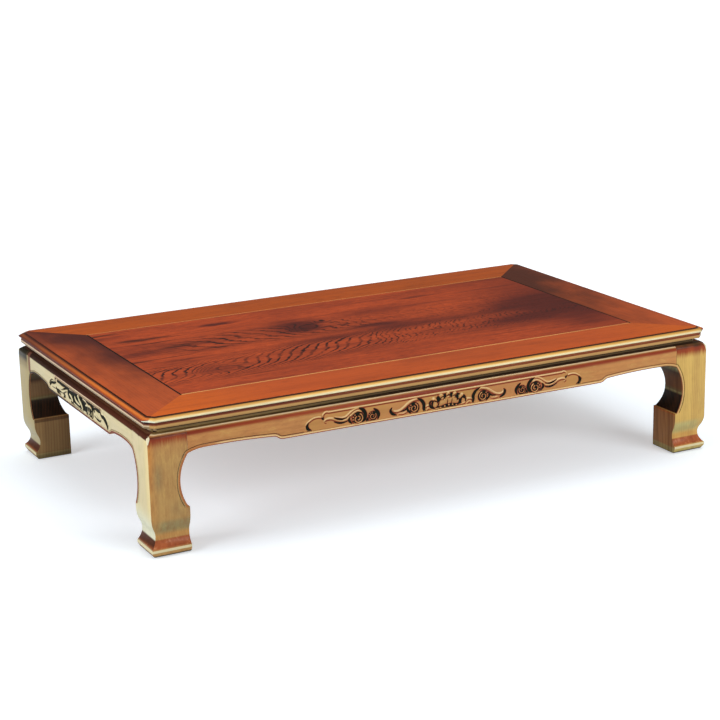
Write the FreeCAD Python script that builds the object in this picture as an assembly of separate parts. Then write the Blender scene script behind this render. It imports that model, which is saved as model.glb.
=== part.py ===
import FreeCAD, Part
import math
import os

from FreeCAD import Rotation, Vector

os.makedirs("parts", exist_ok=True)

# A low table: a framed top on a neck frame, four aprons and four legs.
# X runs along the length, Y across the depth with the front at -Y, and Z is up.
# The origin is on the floor under the centre of the top. Sizes are in millimetres.

# Overall
table_length = 1500.0
table_depth = 900.0
table_height = 320.0
overrun = 5.0

# Top: frame rails with a moulded edge and clipped corners
top_thickness = 26.0
rail_width = 140.0
corner_clip = 22.0
quirk_inset = 16.0
quirk_drop = 3.0
bulge_inset = 13.0
bulge_height = 7.6
nose_radius = 1.8
groove_height = 5.4
groove_inset = 7.0
lip_inset = 5.0
lip_radius = 1.5
lip_chamfer = 0.8

# Top: centre panel held in a groove of the rails
panel_thickness = 20.0
joint_chamfer = 1.2
panel_tongue = 8.0
tongue_thickness = 7.0
tongue_drop = 6.0
tongue_gap = 1.0

# Loose splines across the mitres
spline_thickness = 5.0
spline_width = 24.0
spline_length = 120.0
spline_rise = 5.0
spline_start = 45.0
spline_gap = 0.3

# Dovetailed battens under the panel
batten_count = 3
batten_end_gap = 210.0
batten_width = 45.0
batten_height = 14.0
batten_setback = 10.0
dovetail_depth = 6.0
dovetail_root = 30.0
dovetail_flare = 2.0

# Neck frame between top and base
neck_height = 12.0
neck_inset = 20.0
neck_width = 32.0
neck_clip = 14.0
neck_groove = 8.0
neck_groove_height = 4.0
neck_groove_rise = 4.0

# Base outline: legs and aprons stand in one plane, under a rounded shoulder
base_inset = 3.0
shoulder_radius = 11.0
facet_leg = 10.5
facet_height = 10.0
facet_bow = 1.2

# Legs
leg_width = 92.0
waist_width = 72.0
ledge_width = 3.0
ledge_height = 107.0

# Foot of each leg: a long curve in to a cove, then out to a toe
cove_height = 46.0
cove_depth = 12.0
cove_radius = 34.0
shin_radius = 60.0
toe_proud = 1.0
toe_band = 7.0
toe_bevel = 6.0

# Felt pads under the feet
pad_thickness = 2.0
pad_margin = 6.0

# Aprons, measured down from the top of the base
apron_thickness = 34.0
apron_middle = 59.0
apron_end = 45.6
apron_seam = 53.4
end_curve = 37.0
end_curve_rise_share = 0.60
end_curve_run_share = 0.40
ogee_start_long = 203.0
ogee_start_short = 121.0
ogee_drop = 5.0
ogee_length = 27.0
tenon_length = 26.0
tenon_thickness = 12.0
tenon_height = 30.0
tenon_drop = 12.0
tenon_setback = 11.0
tenon_gap = 1.0

# Bead along the lower edge of the base, set off by a fine groove
bead_width = 6.5
bead_groove_width = 1.5
bead_groove_depth = 1.2

# Carved field of each apron, a little below the face
field_end_gap_long = 285.0
field_end_gap_short = 149.0
field_top = 15.0
field_bottom = 52.0
field_depth = 2.0
cloud_length = 57.0
# Places on the cloud-shaped end, as shares of its length and of the field's height
cloud_foot_shares = (0.105, 0.0)
cloud_curl_shares = (0.0, 0.34)
cloud_shoulder_shares = (0.14, 0.61)
cloud_back_shares = (0.42, 0.79)
cloud_cusp_shares = (0.75, 0.70)
cloud_neck_shares = (0.76, 0.89)
cloud_tip_shares = (1.0, 1.0)

# Corner blocks between aprons and legs
block_wing_length = 90.0
block_height = 28.0
block_screw_run = 62.0
block_screw_seat = 20.0
block_bore_radius = 5.5

# Wooden buttons that hold the top down
button_length = 38.0
button_width = 28.0
button_thickness = 11.0
button_tongue = 7.0
button_gap = 1.0
long_button_count = 4
long_button_end_gap = 300.0
short_button_count = 2
short_button_end_gap = 310.0

# Countersunk screws
head_radius = 4.0
head_height = 2.4
shank_radius = 2.0
screw_tip = 3.0
screw_gap = 0.12
recess_length = 4.4
recess_width = 1.1
recess_depth = 1.6
button_screw_length = 27.0
neck_screw_length = 38.0
block_screw_length = 40.0
leg_screw_length = 58.0
long_neck_screw_count = 5
long_neck_screw_end_gap = 50.0
short_neck_screw_count = 3
short_neck_screw_end_gap = 100.0
neck_screw_inset = 29.0

# Levels and half sizes that follow from the sizes above
half_length = table_length / 2
half_depth = table_depth / 2
top_under = table_height - top_thickness
base_top = top_under - neck_height
seam_x = half_length - base_inset - leg_width
seam_y = half_depth - base_inset - leg_width
panel_x = half_length - rail_width
panel_y = half_depth - rail_width
panel_under = table_height - panel_thickness
CORNERS = {"front_left": (-1, -1), "front_right": (1, -1), "back_left": (-1, 1), "back_right": (1, 1)}
SIDES = ("front", "back", "left", "right")


def box(x0, x1, y0, y1, z0, z1):
    """Block between the given limits."""
    return Part.makeBox(x1 - x0, y1 - y0, z1 - z0, Vector(x0, y0, z0))


def slab(half_x, half_y, z0, z1):
    """Block centred on the table."""
    return box(-half_x, half_x, -half_y, half_y, z0, z1)


def prism(points, z0, z1):
    """Upright block over a plan outline."""
    ring = [Vector(x, y, z0) for x, y in points]
    return Part.Face(Part.makePolygon(ring + ring[:1])).extrude(Vector(0, 0, z1 - z0))


def edges_at(segments, place):
    """Edges of a flat outline: two points make a line, three an arc."""
    made = []
    for points in segments:
        spots = [place(a, b) for a, b in points]
        if len(spots) == 2:
            made.append(Part.LineSegment(*spots).toShape())
        else:
            made.append(Part.Arc(*spots).toShape())
    return made


def filled(edges):
    """Face inside a closed ring of edges."""
    return Part.Face(Part.Wire(Part.__sortEdges__(edges)))


def on_arc(centre, radius, start, end):
    """Point of a circle half way between two of its points."""
    a = math.atan2(start[1] - centre[1], start[0] - centre[0])
    b = math.atan2(end[1] - centre[1], end[0] - centre[0])
    turn = math.remainder(b - a, math.tau)
    half = a + turn / 2
    return centre[0] + radius * math.cos(half), centre[1] + radius * math.sin(half)


def swung(start, centre, radius, end):
    """Arc of a known circle between two of its points."""
    return start, on_arc(centre, radius, start, end), end


def further(centre, point, length):
    """Point that lies a length further clockwise round an arc."""
    radius = math.dist(centre, point)
    angle = math.atan2(point[1] - centre[1], point[0] - centre[0]) - length / radius
    return centre[0] + radius * math.cos(angle), centre[1] + radius * math.sin(angle)


def stretch(start, towards, length):
    """Point at a distance from start, towards another point."""
    gap = math.dist(start, towards)
    return tuple(a + (b - a) * length / gap for a, b in zip(start, towards))


def top_edge_profile():
    """Moulded edge of the top as (inset, height), from the underside up."""
    z_bulge = table_height - quirk_drop
    z_groove = z_bulge - bulge_height
    z_lip = z_groove - groove_height
    nose = (nose_radius, z_groove + nose_radius)
    drop = z_bulge - nose[1]
    run = bulge_inset - nose_radius
    sweep = (run ** 2 + drop ** 2 - nose_radius ** 2) / (2 * (drop - nose_radius))
    centre = (bulge_inset, z_bulge - sweep)
    meet = stretch(centre, nose, sweep)
    nose_under = (nose_radius, z_groove)
    bulge_start = (bulge_inset, z_bulge)
    lip_centre = (lip_inset + lip_radius, z_lip - lip_radius)
    lip_side = (lip_inset, z_lip - lip_radius)
    lip_top = (lip_inset + lip_radius, z_lip)
    foot = (lip_inset + lip_chamfer, top_under)
    side = (lip_inset, top_under + lip_chamfer)
    return [
        (foot, side),
        (side, lip_side),
        swung(lip_side, lip_centre, lip_radius, lip_top),
        (lip_top, (groove_inset, z_lip)),
        ((groove_inset, z_lip), (groove_inset, z_groove)),
        ((groove_inset, z_groove), nose_under),
        swung(nose_under, nose, nose_radius, meet),
        swung(meet, centre, sweep, bulge_start),
        (bulge_start, (quirk_inset, z_bulge)),
        ((quirk_inset, z_bulge), (quirk_inset, table_height)),
    ]


def base_profile():
    """Outer side of the base as (inset, height), from the sole up to the crest of the shoulder."""
    cove = (base_inset + cove_depth - cove_radius, cove_height)
    reach = cove_radius + shin_radius
    shin_x = base_inset + shin_radius
    shin = (shin_x, cove_height + math.sqrt(reach ** 2 - (shin_x - cove[0]) ** 2))
    meet = stretch(cove, shin, cove_radius)
    toe = base_inset - toe_proud
    toe_top = (toe, cove_height - math.sqrt(cove_radius ** 2 - (toe - cove[0]) ** 2))
    toe_low = (toe, toe_top[1] - toe_band)
    sole = (toe + toe_bevel, pad_thickness)
    shin_top = (base_inset, shin[1])
    shoulder = (base_inset + shoulder_radius, base_top - shoulder_radius)
    shoulder_foot = (base_inset, shoulder[1])
    crest = (shoulder[0], base_top)
    return [
        (sole, toe_low),
        (toe_low, toe_top),
        (toe_top, (base_inset + cove_depth, cove_height), meet),
        swung(meet, shin, shin_radius, shin_top),
        (shin_top, shoulder_foot),
        swung(shoulder_foot, shoulder, shoulder_radius, crest),
    ]


def moulded_bar(segments, width, length, turn):
    """Bar with a moulded profile on both of its long sides, turned about Z."""
    start = -length / 2
    half = width / 2
    (low_inset, low), (high_inset, high) = segments[0][0], segments[-1][-1]
    near = edges_at(segments, lambda inset, z: Vector(start, inset - half, z))
    far = edges_at(segments, lambda inset, z: Vector(start, half - inset, z))
    ends = []
    for inset, z in ((low_inset, low), (high_inset, high)):
        first, last = Vector(start, inset - half, z), Vector(start, half - inset, z)
        ends.append(Part.LineSegment(first, last).toShape())
    bar = filled(near + far + ends).extrude(Vector(length, 0, 0))
    bar.rotate(Vector(0, 0, 0), Vector(0, 0, 1), turn)
    return bar


def crossed_bars(segments, turns):
    """What all the bars have in common: one profile mitred round the table."""
    long_bar = moulded_bar(segments, table_depth, table_length + overrun, 0)
    short_bar = moulded_bar(segments, table_length, table_depth + overrun, 90)
    body = long_bar.common(short_bar)
    across = (half_length + half_depth - corner_clip) * math.sqrt(2)
    for turn in turns:
        body = body.common(moulded_bar(segments, across, table_length + table_depth, turn))
    return body


def mitred(side, width):
    """Plan of one side of a mitred frame as wide as given."""
    outer_x, outer_y = half_length, half_depth
    inner_x, inner_y = half_length - width, half_depth - width
    plans = {
        "front": [(-outer_x, -outer_y), (outer_x, -outer_y), (inner_x, -inner_y), (-inner_x, -inner_y)],
        "back": [(-outer_x, outer_y), (outer_x, outer_y), (inner_x, inner_y), (-inner_x, inner_y)],
        "left": [(-outer_x, -outer_y), (-outer_x, outer_y), (-inner_x, inner_y), (-inner_x, -inner_y)],
        "right": [(outer_x, -outer_y), (outer_x, outer_y), (inner_x, inner_y), (inner_x, -inner_y)],
    }
    return plans[side]


def screw_outline(length, gap):
    """Solid of revolution of a countersunk screw, head up, its axis on Z."""
    head, shank = head_radius + gap, shank_radius + gap
    points = [(0, 0), (head, 0), (shank, -head_height), (shank, screw_tip - length), (0, -length - gap)]
    ring = [Vector(x, 0, z) for x, z in points]
    return Part.Face(Part.makePolygon(ring + ring[:1])).revolve(Vector(0, 0, 0), Vector(0, 0, 1), 360)


def screw(length):
    """Countersunk screw with a cross recess."""
    body = screw_outline(length, 0)
    long_half, short_half = recess_length / 2, recess_width / 2
    for half_x, half_y in ((long_half, short_half), (short_half, long_half)):
        body = body.cut(slab(half_x, half_y, -recess_depth, overrun))
    return body


def driven(shape, spot, aim):
    """A screw or its hole, moved to a spot and driven in a direction."""
    moved = shape.copy()
    moved.Placement = FreeCAD.Placement(Vector(*spot), Rotation(Vector(0, 0, -1), Vector(*aim)))
    return moved


def spread(count, reach):
    """Evenly spaced places from one end of a reach to the other, about the middle."""
    return [reach * (2 * index / (count - 1) - 1) for index in range(count)]


def round_frame(long_count, long_end_gap, short_count, short_end_gap, inset):
    """Spots and inward directions at an inset along all four sides."""
    found = []
    for sign in (-1, 1):
        for along in spread(long_count, half_length - long_end_gap):
            found.append(((along, sign * (half_depth - inset)), (0, -sign)))
        for along in spread(short_count, half_depth - short_end_gap):
            found.append(((sign * (half_length - inset), along), (-sign, 0)))
    return found


def neck_screw_spots():
    """Heads of the screws from the neck frame down into the base."""
    places = round_frame(
        long_neck_screw_count, long_neck_screw_end_gap, short_neck_screw_count, short_neck_screw_end_gap,
        neck_screw_inset,
    )
    return [((x, y, top_under), (0, 0, -1)) for (x, y), _ in places]


def neck_inner():
    """Inset of the inner face of the neck frame."""
    return neck_inset + neck_width


def button_places():
    """Outer ends of the buttons' bodies, with their inward directions."""
    return round_frame(
        long_button_count, long_button_end_gap, short_button_count, short_button_end_gap,
        neck_inner() + button_gap,
    )


def button_screw_spots():
    """Heads of the screws that go up through the buttons."""
    found = []
    reach = button_length / 2
    for (x, y), (along_x, along_y) in button_places():
        found.append(((x + along_x * reach, y + along_y * reach, top_under - button_thickness), (0, 0, 1)))
    return found


def block_faces():
    """Insets that bound a corner block: the aprons' inner faces and the leg's."""
    return base_inset + apron_thickness, base_inset + leg_width


def block_screw_spots(signs):
    """Screws of one corner block: into the long apron, the short apron and the leg."""
    sign_x, sign_y = signs
    apron_inset, leg_inset = block_faces()
    z = base_top - block_height / 2
    run = leg_inset + block_screw_run
    seat = apron_inset + block_screw_seat
    corner = leg_inset + (block_wing_length - (leg_inset - apron_inset)) / 2
    long_spot = (sign_x * (half_length - run), sign_y * (half_depth - seat), z)
    short_spot = (sign_x * (half_length - seat), sign_y * (half_depth - run), z)
    leg_spot = (sign_x * (half_length - corner), sign_y * (half_depth - corner), z)
    return [
        (long_spot, (0, sign_y, 0), block_screw_length),
        (short_spot, (sign_x, 0, 0), block_screw_length),
        (leg_spot, (sign_x, sign_y, 0), leg_screw_length),
    ]


def holes(spots, length):
    """Screw holes at a list of spots."""
    return [driven(screw_outline(length, screw_gap), spot, aim) for spot, aim in spots]


def base_holes():
    """Every screw hole that enters a leg or an apron."""
    made = holes(neck_screw_spots(), neck_screw_length)
    for signs in CORNERS.values():
        for spot, aim, length in block_screw_spots(signs):
            made.append(driven(screw_outline(length, screw_gap), spot, aim))
    return made


def opening_edges(seam, ogee_start):
    """Outline of the gap between two legs under an apron, as (across, height) segments."""
    high = base_top - apron_end
    low = base_top - apron_middle
    seam_z = base_top - apron_seam
    waist = (seam + leg_width - waist_width, (ledge_height + seam_z) / 2)
    foot = (seam, -overrun)
    step = (seam, ledge_height)
    ledge = (seam + ledge_width, ledge_height)
    knee = (seam, seam_z)
    curve_end = (seam - end_curve, high)
    rise = (high - seam_z) * end_curve_rise_share
    curve_middle = (seam - end_curve * end_curve_run_share, seam_z + rise)
    brow = (seam - ogee_start, low + ogee_drop + (high - low - ogee_drop) / 2)
    flat = (seam - ogee_start - ogee_length, low)
    crown = ((curve_end[0] + brow[0]) / 2, high)
    side = [
        (foot, step),
        (step, ledge),
        (ledge, waist, knee),
        (knee, curve_middle, curve_end),
        (curve_end, crown, brow),
    ]
    half_way = ((brow[0] + flat[0]) / 2, (brow[1] + flat[1]) / 2)
    side += ogee(brow, half_way, flat)
    other = [tuple((-a, b) for a, b in points) for points in side]
    closing = [(flat, (-flat[0], flat[1])), (foot, (-foot[0], foot[1]))]
    return side + other + closing


def ogee(start, middle, end):
    """Two equal arcs, level at both ends."""
    run = abs(end[0] - start[0]) / 2
    fall = (start[1] - end[1]) / 2
    radius = (run ** 2 + fall ** 2) / (2 * fall)
    upper = (start[0], start[1] - radius)
    lower = (end[0], end[1] + radius)
    return [swung(start, upper, radius, middle), swung(middle, lower, radius, end)]


def through(edges_of, reach, turned):
    """Block with an (across, height) outline that runs right through the base."""
    if turned:
        ring = edges_at(edges_of, lambda across, z: Vector(-reach, across, z))
        return filled(ring).extrude(Vector(reach + reach, 0, 0))
    ring = edges_at(edges_of, lambda across, z: Vector(across, -reach, z))
    return filled(ring).extrude(Vector(0, reach + reach, 0))


def long_opening():
    """Leg room from front to back."""
    return through(opening_edges(seam_x, ogee_start_long), half_depth + overrun, False)


def short_opening():
    """Leg room from side to side."""
    return through(opening_edges(seam_y, ogee_start_short), half_length + overrun, True)


def bead_grooves(seam, ogee_start, face, turned):
    """Fine grooves that follow the opening on both opposite faces of the base."""
    def place(across, z):
        return Vector(0, across, z) if turned else Vector(across, 0, z)

    ring = Part.Wire(Part.__sortEdges__(edges_at(opening_edges(seam, ogee_start), place)))
    inner = ring.makeOffset2D(bead_width)
    outer = ring.makeOffset2D(bead_width + bead_groove_width)
    band = Part.Face(outer).cut(Part.Face(inner))
    made = []
    for sign in (-1, 1):
        deep = sign * (face - bead_groove_depth)
        strip = band.copy()
        strip.translate(place(0, 0) + (Vector(deep, 0, 0) if turned else Vector(0, deep, 0)))
        reach = sign * (bead_groove_depth + overrun)
        strip = strip.extrude(Vector(reach, 0, 0) if turned else Vector(0, reach, 0))
        made.append(strip.common(slab(table_length, table_length, ledge_height, base_top)))
    return made


def field_outline(half_field):
    """Outline of a carved field, with a cloud-shaped end on each side."""
    foot_z = base_top - field_bottom
    height = field_bottom - field_top

    def spot(shares):
        return half_field - shares[0] * cloud_length, foot_z + shares[1] * height

    foot, curl = spot(cloud_foot_shares), spot(cloud_curl_shares)
    shoulder, back = spot(cloud_shoulder_shares), spot(cloud_back_shares)
    cusp, neck, tip = spot(cloud_cusp_shares), spot(cloud_neck_shares), spot(cloud_tip_shares)
    side = [(foot, curl, shoulder), (shoulder, back, cusp), (cusp, neck, tip)]
    other = [tuple((-a, b) for a, b in points) for points in side]
    return side + other + [(foot, (-foot[0], foot[1])), (tip, (-tip[0], tip[1]))]


def field_cuts(half_field, face, turned):
    """Sunk fields on the two opposite aprons."""
    made = []
    for sign in (-1, 1):
        deep = sign * (face - field_depth)
        reach = sign * (field_depth + overrun)
        if turned:
            ring = edges_at(field_outline(half_field), lambda across, z: Vector(deep, across, z))
            made.append(filled(ring).extrude(Vector(reach, 0, 0)))
        else:
            ring = edges_at(field_outline(half_field), lambda across, z: Vector(across, deep, z))
            made.append(filled(ring).extrude(Vector(0, reach, 0)))
    return made


def corner_facets():
    """Wedges that clip the shoulder at the four corners of the base."""
    start = (base_inset * math.sqrt(2), base_top - facet_height)
    end = ((base_inset + shoulder_radius) * math.sqrt(2) + facet_leg / math.sqrt(2), base_top)
    slope = math.dist(start, end)
    across, up = (end[0] - start[0]) / slope, (end[1] - start[1]) / slope
    middle = ((start[0] + end[0]) / 2, (start[1] + end[1]) / 2)
    radius = (slope * slope / 4 + facet_bow * facet_bow) / (facet_bow + facet_bow)
    centre = (middle[0] + up * (radius - facet_bow), middle[1] - across * (radius - facet_bow))
    bow = (middle[0] - up * facet_bow, middle[1] + across * facet_bow)
    below, above = further(centre, start, -overrun), further(centre, end, overrun)
    top = above[1] + overrun
    outline = [
        (below, bow, above),
        (above, (above[0], top)),
        ((above[0], top), (-overrun, top)),
        ((-overrun, top), (-overrun, below[1])),
        ((-overrun, below[1]), below),
    ]
    made = []
    for sign_x, sign_y in CORNERS.values():
        inward = Vector(-sign_x, -sign_y, 0).normalize()
        sideways = Vector(sign_y, -sign_x, 0).normalize() * leg_width
        corner = Vector(sign_x * half_length, sign_y * half_depth, 0) - sideways / 2
        ring = edges_at(outline, lambda u, z: corner + inward * u + Vector(0, 0, z))
        made.append(filled(ring).extrude(sideways))
    return made


def tenons(side, length, height_gap):
    """The pair of tenons of one apron, or their mortises when a little longer."""
    z1 = base_top - tenon_drop
    z0 = z1 - tenon_height
    inset = base_inset + tenon_setback
    made = []
    for sign in (-1, 1):
        if side in ("front", "back"):
            way = -1 if side == "front" else 1
            ends = sorted((sign * seam_x, sign * (seam_x + length)))
            cheeks = sorted((way * (half_depth - inset), way * (half_depth - inset - tenon_thickness)))
            made.append(box(*ends, *cheeks, z0 - height_gap, z1 + height_gap))
        else:
            way = -1 if side == "left" else 1
            ends = sorted((sign * seam_y, sign * (seam_y + length)))
            cheeks = sorted((way * (half_length - inset), way * (half_length - inset - tenon_thickness)))
            made.append(box(*cheeks, *ends, z0 - height_gap, z1 + height_gap))
    return made


def make_rails():
    """Four mitred rails of the top."""
    body = crossed_bars(top_edge_profile(), (45, -45))
    housing = slab(
        panel_x + panel_tongue + tongue_gap, panel_y + panel_tongue + tongue_gap,
        table_height - tongue_drop - tongue_thickness, table_height - tongue_drop,
    )
    cuts = [housing, chamfer_flare()]
    cuts += [spline_block(signs, spline_gap) for signs in CORNERS.values()]
    cuts += holes(button_screw_spots(), button_screw_length)
    rails = {}
    for side in SIDES:
        rail = body.common(prism(mitred(side, rail_width), top_under - overrun, table_height + overrun))
        rails["top_rail_" + side] = rail.cut(cuts)
    return rails


def chamfer_flare():
    """Flare that breaks the rails' edges round the panel."""
    low = table_height - joint_chamfer
    rings = []
    for grow, z in ((0, low), (joint_chamfer, table_height), (joint_chamfer, table_height + overrun)):
        x, y = panel_x + grow, panel_y + grow
        ring = [Vector(-x, -y, z), Vector(x, -y, z), Vector(x, y, z), Vector(-x, y, z)]
        rings.append(Part.makePolygon(ring + ring[:1]))
    return Part.makeLoft(rings, True, True)


def spline_block(signs, gap):
    """Loose spline across one mitre, or its slot when a little larger."""
    sign_x, sign_y = signs
    start = spline_start - gap
    length = spline_length + gap + gap
    half = spline_width / 2 + gap
    z = top_under + spline_rise
    block = box(start, start + length, -half, half, z, z + spline_thickness)
    turn = math.degrees(math.atan2(-sign_y, -sign_x))
    block.rotate(Vector(0, 0, 0), Vector(0, 0, 1), turn)
    block.translate(Vector(sign_x * half_length, sign_y * half_depth, 0))
    return block


def batten_outline():
    """Section of a batten: a broad foot with a dovetail on top, as (across, height)."""
    half, root = batten_width / 2, dovetail_root / 2
    crest = root + dovetail_flare
    low, top = panel_under - batten_height, panel_under + dovetail_depth
    right = [(half, low), (half, panel_under), (root, panel_under), (crest, top)]
    left = [(-x, z) for x, z in reversed(right)]
    return right + left


def batten(centre, half_run):
    """Batten across the panel, or its dovetail housing."""
    ring = [Vector(centre + x, -half_run, z) for x, z in batten_outline()]
    return Part.Face(Part.makePolygon(ring + ring[:1])).extrude(Vector(0, half_run + half_run, 0))


def make_panel():
    """Centre panel with its tongue and dovetail housings."""
    body = slab(panel_x, panel_y, panel_under, table_height)
    rim = [e for e in body.Edges if all(v.Z > table_height - joint_chamfer for v in e.Vertexes)]
    body = body.makeChamfer(joint_chamfer, rim)
    z1 = table_height - tongue_drop
    body = body.fuse(slab(panel_x + panel_tongue, panel_y + panel_tongue, z1 - tongue_thickness, z1))
    for centre in spread(batten_count, panel_x - batten_end_gap):
        body = body.cut(batten(centre, half_depth))
    return {"top_panel": body.removeSplitter()}


def make_battens():
    """Cross battens from left to right."""
    names = ("left", "middle", "right")
    places = spread(batten_count, panel_x - batten_end_gap)
    return {"panel_batten_" + n: batten(x, panel_y - batten_setback) for n, x in zip(names, places)}


def make_splines():
    """One loose spline in each mitre of the top."""
    return {"mitre_spline_" + name: spline_block(signs, 0) for name, signs in CORNERS.items()}


def neck_plan():
    """Outer outline of the neck frame, with clipped corners."""
    x, y = half_length - neck_inset, half_depth - neck_inset
    clip = neck_clip
    return [
        (-x + clip, -y), (x - clip, -y), (x, -y + clip), (x, y - clip),
        (x - clip, y), (-x + clip, y), (-x, y - clip), (-x, -y + clip),
    ]


def make_neck():
    """Four mitred rails of the neck frame, grooved inside for the buttons."""
    inner_x, inner_y = half_length - neck_inner(), half_depth - neck_inner()
    body = prism(neck_plan(), base_top, top_under)
    body = body.cut(slab(inner_x, inner_y, base_top - overrun, top_under + overrun))
    z = base_top + neck_groove_rise
    groove = slab(inner_x + neck_groove, inner_y + neck_groove, z, z + neck_groove_height)
    cuts = [groove] + holes(neck_screw_spots(), neck_screw_length)
    rails = {}
    for side in SIDES:
        rail = body.common(prism(mitred(side, neck_inner()), base_top, top_under))
        rails["neck_rail_" + side] = rail.cut(cuts)
    return rails


def make_base():
    """Aprons and legs, cut from one outline of the base."""
    body = crossed_bars(base_profile(), ())
    face_x, face_y = half_length - base_inset, half_depth - base_inset
    shared = [long_opening(), short_opening()]
    shared += bead_grooves(seam_x, ogee_start_long, face_y, False)
    shared += bead_grooves(seam_y, ogee_start_short, face_x, True)
    shared += base_holes()
    pieces = {}
    low = base_top - apron_middle - overrun
    for side in SIDES:
        pieces["apron_" + side] = make_apron(body, side, low, shared)
    mortises = [t for side in SIDES for t in tenons(side, tenon_length + tenon_gap, 0)]
    for name, (sign_x, sign_y) in CORNERS.items():
        xs = sorted((sign_x * seam_x, sign_x * half_length))
        ys = sorted((sign_y * seam_y, sign_y * half_depth))
        leg = body.common(box(*xs, *ys, 0, table_height))
        pieces["leg_" + name] = leg.cut(corner_facets()).cut(shared).cut(mortises)
    return pieces


def make_apron(body, side, low, shared):
    """One apron with its shoulder, carved field and tenons."""
    inner_x, inner_y = half_length - block_faces()[0], half_depth - block_faces()[0]
    limits = {
        "front": (-seam_x, seam_x, -half_depth, -inner_y),
        "back": (-seam_x, seam_x, inner_y, half_depth),
        "left": (-half_length, -inner_x, -seam_y, seam_y),
        "right": (inner_x, half_length, -seam_y, seam_y),
    }
    turned = side in ("left", "right")
    seam = seam_y if turned else seam_x
    gap = field_end_gap_short if turned else field_end_gap_long
    face = (half_length if turned else half_depth) - base_inset
    openings = shared[1:] if turned else shared[:1] + shared[2:]
    apron = body.common(box(*limits[side], low, table_height))
    apron = apron.cut(openings).cut(field_cuts(seam - gap, face, turned))
    return apron.fuse(tenons(side, tenon_length, 0)).removeSplitter()


def make_corner_blocks():
    """Blocks that brace each leg against its two aprons."""
    apron_inset, leg_inset = block_faces()
    blocks = {}
    for name, signs in CORNERS.items():
        sign_x, sign_y = signs
        end = leg_inset + block_wing_length
        plan = [
            (leg_inset, apron_inset), (end, apron_inset), (apron_inset, end),
            (apron_inset, leg_inset), (leg_inset, leg_inset),
        ]
        spots = [(sign_x * (half_length - a), sign_y * (half_depth - b)) for a, b in plan]
        block = prism(spots, base_top - block_height, base_top)
        cuts = []
        for spot, aim, length in block_screw_spots(signs):
            cuts.append(driven(screw_outline(length, screw_gap), spot, aim))
            back = Vector(*aim).normalize() * block_wing_length
            bore = Part.makeCylinder(block_bore_radius, block_wing_length, Vector(*spot) - back, Vector(*aim))
            cuts.append(bore)
        blocks["corner_block_" + name] = block.cut(cuts)
    return blocks


def make_buttons():
    """Wooden buttons, tongued into the neck frame and screwed up into the rails."""
    made = []
    z = base_top + neck_groove_rise
    half = button_width / 2
    for (x, y), (along_x, along_y) in button_places():
        body = box(0, button_length, -half, half, top_under - button_thickness, top_under)
        reach = button_gap + button_tongue
        body = body.fuse(box(-reach, button_length, -half, half, z, z + neck_groove_height)).removeSplitter()
        body.rotate(Vector(0, 0, 0), Vector(0, 0, 1), math.degrees(math.atan2(along_y, along_x)))
        body.translate(Vector(x, y, 0))
        made.append(body.cut(holes(button_screw_spots(), button_screw_length)))
    return {"top_buttons": join(made)}


def join(solids):
    """Separate solids kept together as one group."""
    return Part.makeCompound([solid for shape in solids for solid in shape.Solids])


def make_screws():
    """Screws in three groups: neck frame, buttons and corner blocks."""
    neck = [driven(screw(neck_screw_length), *spot) for spot in neck_screw_spots()]
    buttons = [driven(screw(button_screw_length), *spot) for spot in button_screw_spots()]
    blocks = []
    for signs in CORNERS.values():
        blocks += [driven(screw(length), spot, aim) for spot, aim, length in block_screw_spots(signs)]
    return {"neck_screws": join(neck), "button_screws": join(buttons), "corner_block_screws": join(blocks)}


def make_pads():
    """Felt pad under each foot."""
    pads = {}
    outer = base_inset - toe_proud + toe_bevel + pad_margin
    for name, (sign_x, sign_y) in CORNERS.items():
        xs = sorted((sign_x * (seam_x + pad_margin), sign_x * (half_length - outer)))
        ys = sorted((sign_y * (seam_y + pad_margin), sign_y * (half_depth - outer)))
        pads["foot_pad_" + name] = box(*xs, *ys, 0, pad_thickness)
    return pads


def main():
    """Builds every piece and writes one file for each."""
    pieces = {}
    for make in (
        make_panel, make_rails, make_splines, make_battens, make_neck,
        make_base, make_corner_blocks, make_buttons, make_screws, make_pads,
    ):
        pieces.update(make())
    for name, shape in pieces.items():
        solids = shape.Solids
        sound = shape.isValid() and all(s.isClosed() for s in solids)
        print(name, len(solids), "solid(s)", "valid" if sound else "NOT VALID", round(shape.Volume))
        if len(solids) == 1:
            shape = solids[0]
        shape.exportStep("parts/" + name + ".step")


main()
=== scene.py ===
"""Looks of a low table: lacquered timber, moulded top edge, carved aprons and a pale studio floor."""

import math

import bmesh
import bpy
import numpy as np
from bpy.props import FloatProperty, FloatVectorProperty, PointerProperty
from mathutils import Matrix, Vector


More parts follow.
